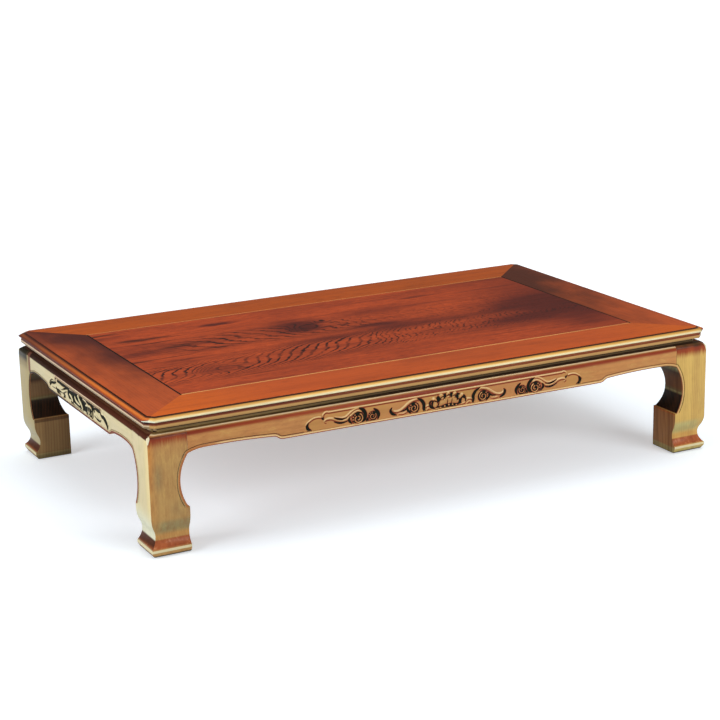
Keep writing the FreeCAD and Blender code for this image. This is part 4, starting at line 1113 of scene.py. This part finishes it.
# Curled rosettes: centre, outer radius, turns and the angle at which the curl starts
ROSETTES = (((93, 241.5), 13.5, 1.35, 1.9), ((238, 239.5), 15.0, 1.45, 2.0), ((201, 240), 11.0, 1.25, 2.6))


def spline(points, steps=10):
    """Smooth line through points of (across, up, half width)."""
    knots = np.array(points, float)
    padded = np.vstack([2 * knots[0] - knots[1], knots, 2 * knots[-1] - knots[-2]])
    rows = []
    for a, b, c, d in zip(padded, padded[1:], padded[2:], padded[3:]):
        square, cube = 2 * a - 5 * b + 4 * c - d, 3 * b - a - 3 * c + d
        for t in np.linspace(0, 1, steps, endpoint=False):
            rows.append(0.5 * (2 * b + (c - a) * t + square * t ** 2 + cube * t ** 3))
    return np.array(rows + [knots[-1]])


class Relief:
    """Heights over the ground and depths of glaze and painted shade on a grid, in millimetres."""

    def __init__(self, across, up):
        self.across, self.up = across, up
        self.height = np.zeros((len(up), len(across)))
        self.dark = np.zeros_like(self.height)

    def stroke(self, line, rise, depth=1.0):
        """Raises a round ridge along a line of (across, up, half width). Below zero, it is cut and painted dark, as
        glaze and shade.
        """
        (low_a, low_u, _), (high_a, high_u, _) = line.min(0), line.max(0)
        wide = line[:, 2].max() + 0.5
        cols = np.flatnonzero((self.across > low_a - wide) & (self.across < high_a + wide))
        rows = np.flatnonzero((self.up > low_u - wide) & (self.up < high_u + wide))
        if not len(cols) or not len(rows):
            return
        grid_a, grid_u = np.meshgrid(self.across[cols], self.up[rows])
        best = np.zeros(grid_a.shape)
        for start, end in zip(line[:-1], line[1:]):
            run = end[:2] - start[:2]
            share = ((grid_a - start[0]) * run[0] + (grid_u - start[1]) * run[1]) / max(run @ run, 1e-9)
            share = np.clip(share, 0, 1)
            gap = np.hypot(grid_a - start[0] - share * run[0], grid_u - start[1] - share * run[1])
            width = start[2] + share * (end[2] - start[2])
            best = np.maximum(best, np.clip(1 - (gap / width) ** 2, 0, 1) * np.minimum(width / 2.2, 1.0))
        spot = np.ix_(rows, cols)
        if rise > 0:
            self.height[spot] = np.maximum(self.height[spot], np.sqrt(best) * rise)
            self.dark[spot] *= 1 - np.minimum(best * 3, 1)
        else:
            self.height[spot] += (rise - self.height[spot]) * np.minimum(best * 2.2, 1)
            self.dark[spot] = np.maximum(self.dark[spot], np.minimum(best * 2.2, 1) * depth)

    def dot(self, across, up, radius, rise, depth=1.0):
        self.stroke(np.array([(across, up, radius), (across + 0.1, up, radius)]), rise, depth)

    def rosette(self, centre, radius, turns, start, hand):
        """A curl that winds in to a bud, inside a broken ring of petals, on a ground painted dark as glaze and shade.
        """
        self.dot(*centre, radius * 1.16, -0.7, 0.96)

        def round_line(reach, angle, width):
            places = (centre[0] + hand * reach * np.cos(angle), centre[1] + reach * np.sin(angle) * 0.94)
            return np.stack([*places, np.broadcast_to(width, reach.shape)], 1)

        t = np.linspace(0, 1, int(44 * turns))
        curl = round_line(radius * (0.82 - 0.62 * t), start + turns * math.tau * t, radius * (0.13 - 0.01 * t))
        self.stroke(curl, 2.1)
        t = np.linspace(0, 1, 20)
        petal = round_line(radius * (0.94 + 0 * t), start + 2.2 + 1.7 * t, radius * 0.10 * np.sin(0.4 + 2.4 * t))
        self.stroke(petal, 1.5)
        t = np.linspace(0, 1, 12)
        gap = round_line(radius * (0.34 + 0.52 * t), start - 0.55 - 0.5 * t, radius * 0.11 * np.sin(0.5 + 2.2 * t))
        self.stroke(gap, -1.2)
        for angle in (1.1, 1.6, 2.1):
            across = centre[0] + hand * radius * 0.86 * math.cos(start - angle)
            self.dot(across, centre[1] + radius * 0.8 * math.sin(start - angle), radius * 0.15, 1.5)

    def glaze_and_shade(self, shade):
        """Tone of the glaze and painted light: 0 on the crests, painted pale as highlights, 0.36 on the ground, about
        0.6 under ridges, where a red painted shadow falls, and 1 in the cuts, dark as glaze and painted shade.
        """
        height = blurred(self.height, 1)
        step = self.across[1] - self.across[0]
        # Painted light and shade: slopes that face down or to the right are darkened, slopes that face up or to the
        # left and the crests are lightened, and a painted shadow falls to the lower right of raised forms.
        fall_up, fall_across = np.gradient(height, step)
        over = np.roll(height, (-round(2.3 / step), round(1.5 / step)), (0, 1))
        under = np.clip(over - height, 0, 1.5) * shade * 1.5
        crest_light = np.clip(height / 1.6, 0, 1) * 0.11
        tone = 0.36 - crest_light + 0.30 * np.clip(fall_up, -0.9, 0.8) - 0.12 * np.clip(fall_across, -1.0, 0.6) + 0.22 * under
        tone = np.clip(tone + 0.42 * blurred(self.dark, 3), 0, 0.66)
        return np.clip(tone + (1 - tone) * np.clip(self.dark * 1.1 - 0.06, 0, 1), 0, 1)


def carve(relief, is_long, border):
    """Draws the carving of one apron: its border, and rosettes, tails and leaves on both sides of a flower."""
    relief.stroke(border, 1.7)
    if not is_long:
        relief.stroke(spline(((-64, 250, 10), (0, 248, 15), (56, 246, 12))), -0.6, 0.85)
        relief.rosette((88, 244), 17, 1.2, 0.6, -1)
        for rise, *points in SHORT_SIDE:
            relief.stroke(spline(points) * (1, 1, 1.22 if rise < 0 else 1.0), rise, 1.0 if rise < -1.1 else 0.6)
        return
    for hand in (1, -1):
        for (across, up), radius, turns, start in ROSETTES:
            relief.rosette((hand * across, up), radius, turns, start, hand)
        for rise, *points in TAIL + END_LEAF:
            relief.stroke(spline(points) * (hand, 1, 1), rise)
    for rise, *points in FLOWER:
        relief.stroke(spline(points), rise)
    for bead in FLOWER_BEADS:
        relief.dot(*bead)


def border_line(carving, half_field):
    """Raised line along the top of a field and down its shaped ends, in millimetres, with its half width."""
    line = np.array(field_line(carving, half_field))[4:] / MM
    line = np.vstack([line, line[-2::-1] * (-1, 1)])
    width = np.full(len(line), carving.border_radius / MM)
    taper = np.linspace(0.4, 1, 6)
    width[:6] *= taper
    width[-6:] *= taper[::-1]
    return np.column_stack([line, width])


def blurred(field, reach):
    """Average of a field over a square neighbourhood, twice."""
    for _ in range(2):
        for axis in (0, 1):
            sums = sum(np.roll(field, k, axis) for k in range(-reach, reach + 1))
            field = sums / (2 * reach + 1)
    return field


def make_relief(carving, base, side):
    """Carved relief of one apron: a closed slab in the sunk field, with its rim inside the apron."""
    is_long, place = faces_of(base)[side]
    seam = SEAM_X if is_long else SEAM_Y
    half_field = seam - (carving.end_gap_long if is_long else carving.end_gap_short)
    low, high = BASE_TOP - carving.bottom_gap - SLAB_MARGIN, BASE_TOP - carving.top_gap + SLAB_MARGIN
    across = np.arange(-half_field - SLAB_MARGIN, half_field + SLAB_MARGIN, carving.step)
    up = np.arange(low, high, carving.step)
    relief = Relief(across / MM, up / MM)
    carve(relief, is_long, border_line(carving, half_field))
    out = blurred(relief.height, 1) * carving.relief_share * MM - carving.ground
    rows, cols = out.shape
    front = np.stack(np.meshgrid(across, up) + [out], -1).reshape(-1, 3)
    index = np.arange(rows * cols).reshape(rows, cols)
    rim = np.concatenate([index[0, :], index[1:, -1], index[-1, -2::-1], index[-2:0:-1, 0]])
    behind = front[rim]
    behind[:, 2] = -carving.floor - SLAB_DEPTH
    spots = [place(a, o, z) for a, z, o in np.vstack([front, behind])]
    quads = np.stack([index[:-1, :-1], index[:-1, 1:], index[1:, 1:], index[1:, :-1]], -1).reshape(-1, 4)
    under = rows * cols + np.arange(len(rim))
    walls = np.stack([rim, under, np.roll(under, -1), np.roll(rim, -1)], 1)
    faces = quads.tolist() + [under[::-1].tolist()] + walls.tolist()
    mesh = bpy.data.meshes.new("carving_" + side)
    mesh.from_pydata(spots, [], faces)
    add_layer(mesh, "carved", np.ones(len(spots)))
    add_layer(mesh, "glaze_and_shade", np.append(relief.glaze_and_shade(1.0 if is_long else 0.7), np.ones(len(rim))))
    return smoothed(add_object("carving_" + side, turned_out(mesh)), 60)


# ---- beads by Geometry Nodes


def bead_tree(name):
    """Node tree that turns edges into a round bead, and the identifiers of its named inputs."""
    tree = bpy.data.node_groups.new(name, "GeometryNodeTree")
    names = {}
    kinds = {"Geometry": "Geometry", "Bead radius": "Float", "Bead sides": "Int", "Finish": "Material"}
    for label, kind in kinds.items():
        socket = tree.interface.new_socket(label, in_out="INPUT", socket_type="NodeSocket" + kind)
        names[label] = socket.identifier
    tree.interface.new_socket("Geometry", in_out="OUTPUT", socket_type="NodeSocketGeometry")
    chain = [tree.nodes.new(kind) for kind in (
        "NodeGroupInput", "GeometryNodeMeshToCurve", "GeometryNodeCurveToMesh", "GeometryNodeSetShadeSmooth",
        "GeometryNodeRealizeInstances", "GeometryNodeSetMaterial", "NodeGroupOutput",
    )]
    for before, after in zip(chain, chain[1:]):
        tree.links.new(before.outputs[0], after.inputs[0])
    start, sweep, finish = chain[0], chain[2], chain[5]
    circle = tree.nodes.new("GeometryNodeCurvePrimitiveCircle")
    tree.links.new(start.outputs["Bead radius"], circle.inputs["Radius"])
    tree.links.new(start.outputs["Bead sides"], circle.inputs["Resolution"])
    tree.links.new(circle.outputs["Curve"], sweep.inputs["Profile Curve"])
    tree.links.new(start.outputs["Finish"], finish.inputs["Material"])
    sweep.inputs["Fill Caps"].default_value = True
    return tree, names


def make_beads(name, lines, radius, material, glaze_and_shade):
    """One piece with a round bead along each line."""
    mesh = bpy.data.meshes.new(name + "_paths")
    spots, edges = [], []
    for line in lines:
        edges += [(len(spots) + i, len(spots) + i + 1) for i in range(len(line) - 1)]
        spots += line
    mesh.from_pydata(spots, edges, [])
    piece = add_object(name, mesh)
    modifier = piece.modifiers.new("beads", "NODES")
    modifier.node_group, names = bead_tree(name)
    for label, value in (("Bead radius", radius), ("Bead sides", BEAD_SIDES), ("Finish", material)):
        modifier[names[label]] = value
    mesh = turned_out(flattened(piece).data)
    for layer, value in (("carved", 1.0), ("bead", 1.0), ("glaze_and_shade", glaze_and_shade)):
        add_layer(mesh, layer, np.full(len(mesh.vertices), value))
    mesh.shade_smooth()
    return piece


# ---- operators


def dress(node, name, easing, material, slot):
    """Puts an eased copy in a CAD node's place."""
    keep(eased_copy(node, name, easing), material, slot, node)


class LOWTABLE_OT_top_panel(bpy.types.Operator):
    """Finish the panel of the top"""

    bl_idname = "lowtable.top_panel"
    bl_label = "Top panel"

    def execute(self, context):
        paint("top_panel", panel_finish(context.scene.lowtable_top))
        return {"FINISHED"}


class LOWTABLE_OT_top_rails(bpy.types.Operator):
    """Build the four moulded rails of the top"""

    bl_idname = "lowtable.top_rails"
    bl_label = "Top rails"

    def execute(self, context):
        top = context.scene.lowtable_top
        long_timber, short_timber = rail_finish(top, True), rail_finish(top, False)
        for side in SIDES:
            timber = long_timber if side in LONG_SIDES else short_timber
            keep(make_rail(top, side), timber, "rail_timber", "top_rail_" + side)
        return {"FINISHED"}


class LOWTABLE_OT_neck(bpy.types.Operator):
    """Finish the recessed neck"""

    bl_idname = "lowtable.neck"
    bl_label = "Neck"

    def execute(self, context):
        base = context.scene.lowtable_base
        timber = neck_finish(base)
        for side in SIDES:
            dress("neck_rail_" + side, "neck_" + side, base.easing / 2, timber, "neck_timber")
        return {"FINISHED"}


class LOWTABLE_OT_aprons(bpy.types.Operator):
    """Build the four aprons"""

    bl_idname = "lowtable.aprons"
    bl_label = "Aprons"

    def execute(self, context):
        base = context.scene.lowtable_base
        long_timber = base_finish(base, "long_apron_timber", "x", 3.1)
        short_timber = base_finish(base, "short_apron_timber", "y", 4.3)
        for side in SIDES:
            timber = long_timber if side in LONG_SIDES else short_timber
            dress("apron_" + side, "apron_board_" + side, base.easing, timber, "base_timber")
        return {"FINISHED"}


class LOWTABLE_OT_carvings(bpy.types.Operator):
    """Carve the scrolls, rosettes and flower of each apron"""

    bl_idname = "lowtable.carvings"
    bl_label = "Carvings"

    def execute(self, context):
        carving, base = context.scene.lowtable_carving, context.scene.lowtable_base
        for side in SIDES:
            timber = bpy.data.materials["long_apron_timber" if side in LONG_SIDES else "short_apron_timber"]
            keep(make_relief(carving, base, side), timber, "base_timber")
        return {"FINISHED"}


class LOWTABLE_OT_beads(bpy.types.Operator):
    """Run a bead and a thin line along the lower edges"""

    bl_idname = "lowtable.beads"
    bl_label = "Beads"

    def execute(self, context):
        base = context.scene.lowtable_base
        for is_long, name, seam, step in ((True, "long", SEAM_X, STEP_LONG), (False, "short", SEAM_Y, STEP_SHORT)):
            half_opening = opening_line(seam, step)
            timber = bpy.data.materials[name + "_apron_timber"]
            for part, offset, radius, rise, glaze_and_shade in (
                ("edge_bead_", base.bead_offset, base.bead_radius, base.bead_rise, 0.04),
                ("edge_line_", base.line_offset, base.line_radius, base.line_rise, 0.56),
            ):
                path = whole(shifted(half_opening, -offset))
                places = [place for side_is_long, place in faces_of(base).values() if side_is_long == is_long]
                lines = [[place(a, rise - radius, z) for a, z in path] for place in places]
                keep(make_beads(part + name, lines, radius, timber, glaze_and_shade), timber, "base_timber")
        return {"FINISHED"}


class LOWTABLE_OT_legs(bpy.types.Operator):
    """Build the four legs"""

    bl_idname = "lowtable.legs"
    bl_label = "Legs"

    def execute(self, context):
        base = context.scene.lowtable_base
        timber = base_finish(base, "leg_timber", "z", 5.2)
        for corner in CORNERS:
            dress("leg_" + corner, "post_" + corner, base.easing, timber, "base_timber")
        return {"FINISHED"}


class LOWTABLE_OT_inner_parts(bpy.types.Operator):
    """Finish the battens, splines, blocks, buttons and screws under the top"""

    bl_idname = "lowtable.inner_parts"
    bl_label = "Inner parts"

    def execute(self, context):
        along_x, along_y = inner_finish("inner_timber_x", "x", 6.0), inner_finish("inner_timber_y", "y", 6.6)
        steel = steel_finish()
        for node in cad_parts:
            if node.endswith("_screws"):
                paint(node, steel)
            elif node.startswith(("mitre_spline", "corner_block", "top_buttons")):
                paint(node, along_x)
            elif node.startswith("panel_batten"):
                paint(node, along_y)
        return {"FINISHED"}


class LOWTABLE_OT_felt_pads(bpy.types.Operator):
    """Build the felt pads under the feet"""

    bl_idname = "lowtable.felt_pads"
    bl_label = "Felt pads"

    def execute(self, context):
        felt, rounding = felt_finish(), context.scene.lowtable_base.pad_rounding
        for corner in CORNERS:
            dress("foot_pad_" + corner, "felt_" + corner, rounding, felt, "felt")
        return {"FINISHED"}


class LOWTABLE_OT_stage(bpy.types.Operator):
    """Set up the floor, lamps, world and camera"""

    bl_idname = "lowtable.stage"
    bl_label = "Stage"

    def execute(self, context):
        stage = context.scene.lowtable_stage
        lay_floor(stage)
        hang_lamps(stage)
        set_world(stage)
        aim_camera()
        context.scene.view_settings.view_transform = "Standard"
        return {"FINISHED"}


# ---- stage


def lay_floor(stage):
    """A wide pale floor that keeps the table's shadow and shows as near white."""
    half = stage.floor_size / 2
    mesh = bpy.data.meshes.new("floor")
    mesh.from_pydata([(-half, -half, 0), (half, -half, 0), (half, half, 0), (-half, half, 0)], [], [(0, 1, 2, 3)])
    floor = add_object("floor", mesh)
    pale = Finish("pale_floor")
    x, y, _ = pale.axes()
    colour = pale.mix(pale.noise((1.0, 1.0, 1.0), 3.0) * 0.04, stage.floor_tone, (226, 226, 226))
    seen_directly = pale.node("ShaderNodeLightPath", wanted="Is Camera Ray")
    mirrored = pale.node("ShaderNodeLightPath", wanted="Is Glossy Ray")
    matt = pale.node("ShaderNodeBsdfDiffuse", None, {"Color": colour})
    far = distance(x, y).span(1.0, 3.2) * (1 - stage.floor_glow) + stage.floor_glow
    strength = (seen_directly + mirrored).clipped() * far
    glow = pale.node("ShaderNodeEmission", None, {"Color": (1, 1, 1, 1), "Strength": strength})
    both = pale.node("ShaderNodeAddShader", None, {0: matt, 1: glow})
    pale.node("ShaderNodeOutputMaterial", None, {"Surface": both})
    floor.data.materials.append(pale.material)


def hang_lamps(stage):
    """Large softboxes: overhead, to the left and in front."""
    for name, place, size, power in (
        ("overhead", (0.3, 0.5, 3.0), (3.2, 2.4), stage.overhead_power),
        ("left", (-3.3, -0.6, 1.5), (2.0, 1.6), stage.left_power),
        ("front", (1.6, -3.6, 1.9), (2.4, 1.4), stage.front_power),
    ):
        lamp = bpy.data.lights.new(name, "AREA")
        lamp.shape, lamp.size, lamp.size_y, lamp.energy = "RECTANGLE", size[0], size[1], power
        aim = Vector((0, 0, 0.15)) - Vector(place)
        turn = aim.to_track_quat("-Z", "Y").to_matrix().to_4x4()
        add_object(name, lamp).matrix_world = Matrix.Translation(place) @ turn


def set_world(stage):
    """Soft even light all round."""
    world = bpy.data.worlds.new("studio")
    world.use_nodes = True
    tree = world.node_tree
    ground, path = tree.nodes["Background"], tree.nodes.new("ShaderNodeLightPath")
    level = tree.nodes.new("ShaderNodeMapRange")
    level.inputs["To Min"].default_value, level.inputs["To Max"].default_value = stage.world_level, 1.0
    tree.links.new(path.outputs["Is Camera Ray"], level.inputs["Value"])
    tree.links.new(level.outputs["Result"], ground.inputs["Strength"])
    ground.inputs["Color"].default_value = (1, 1, 1, 1)
    bpy.context.scene.world = world


def aim_camera():
    """Camera low at the front left, with a long lens."""
    turn, lift, roll = math.radians(-28.55), math.radians(15.584), math.radians(-0.902)
    back = Vector((math.sin(turn) * math.cos(lift), -math.cos(turn) * math.cos(lift), math.sin(lift)))
    right = (-back).cross(Vector((0, 0, 1))).normalized()
    up = right.cross(-back)
    away, target, aside, above = 4.745, Vector((0, 0, 0.17)), 0.107, 0.048
    place = back * away + target + right * aside + up * above
    right, up = right * math.cos(roll) + up * math.sin(roll), up * math.cos(roll) - right * math.sin(roll)
    camera = bpy.data.cameras.new("camera")
    camera.lens, camera.sensor_width = 93.388, 36.0
    camera.shift_x, camera.shift_y = -0.05915, 0.00893
    camera.clip_end = 200
    holder = add_object("camera", camera)
    holder.matrix_world = Matrix.Translation(place) @ Matrix((right, up, back)).transposed().to_4x4()
    bpy.context.scene.camera = holder


# ---- add-on


OPERATORS = (
    LOWTABLE_OT_top_panel, LOWTABLE_OT_top_rails, LOWTABLE_OT_neck, LOWTABLE_OT_aprons, LOWTABLE_OT_carvings,
    LOWTABLE_OT_beads, LOWTABLE_OT_legs, LOWTABLE_OT_inner_parts, LOWTABLE_OT_felt_pads, LOWTABLE_OT_stage,
)


class LOWTABLE_PT_build(bpy.types.Panel):
    """Steps that build the low table"""

    bl_label = "Low table"
    bl_idname = "LOWTABLE_PT_build"
    bl_space_type = "VIEW_3D"
    bl_region_type = "UI"
    bl_category = "Low Table"

    def draw(self, context):
        for operator in OPERATORS:
            self.layout.operator(operator.bl_idname)
        for group, _ in GROUPS:
            settings = getattr(context.scene, group)
            box = self.layout.box()
            for name in settings.bl_rna.properties.keys():
                if name not in ("rna_type", "name"):
                    box.prop(settings, name)


GROUPS = (
    ("lowtable_top", TopSettings), ("lowtable_base", BaseSettings),
    ("lowtable_carving", CarvingSettings), ("lowtable_stage", StageSettings),
)


def register():
    for group, settings in GROUPS:
        bpy.utils.register_class(settings)
        setattr(bpy.types.Scene, group, PointerProperty(type=settings))
    for operator in OPERATORS:
        bpy.utils.register_class(operator)
    bpy.utils.register_class(LOWTABLE_PT_build)


def unregister():
    bpy.utils.unregister_class(LOWTABLE_PT_build)
    for operator in reversed(OPERATORS):
        bpy.utils.unregister_class(operator)
    for group, settings in reversed(GROUPS):
        delattr(bpy.types.Scene, group)
        bpy.utils.unregister_class(settings)


def main():
    register()
    for operator in OPERATORS:
        group, name = operator.bl_idname.split(".")
        getattr(getattr(bpy.ops, group), name)()
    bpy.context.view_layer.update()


if __name__ == "__main__":
    main()
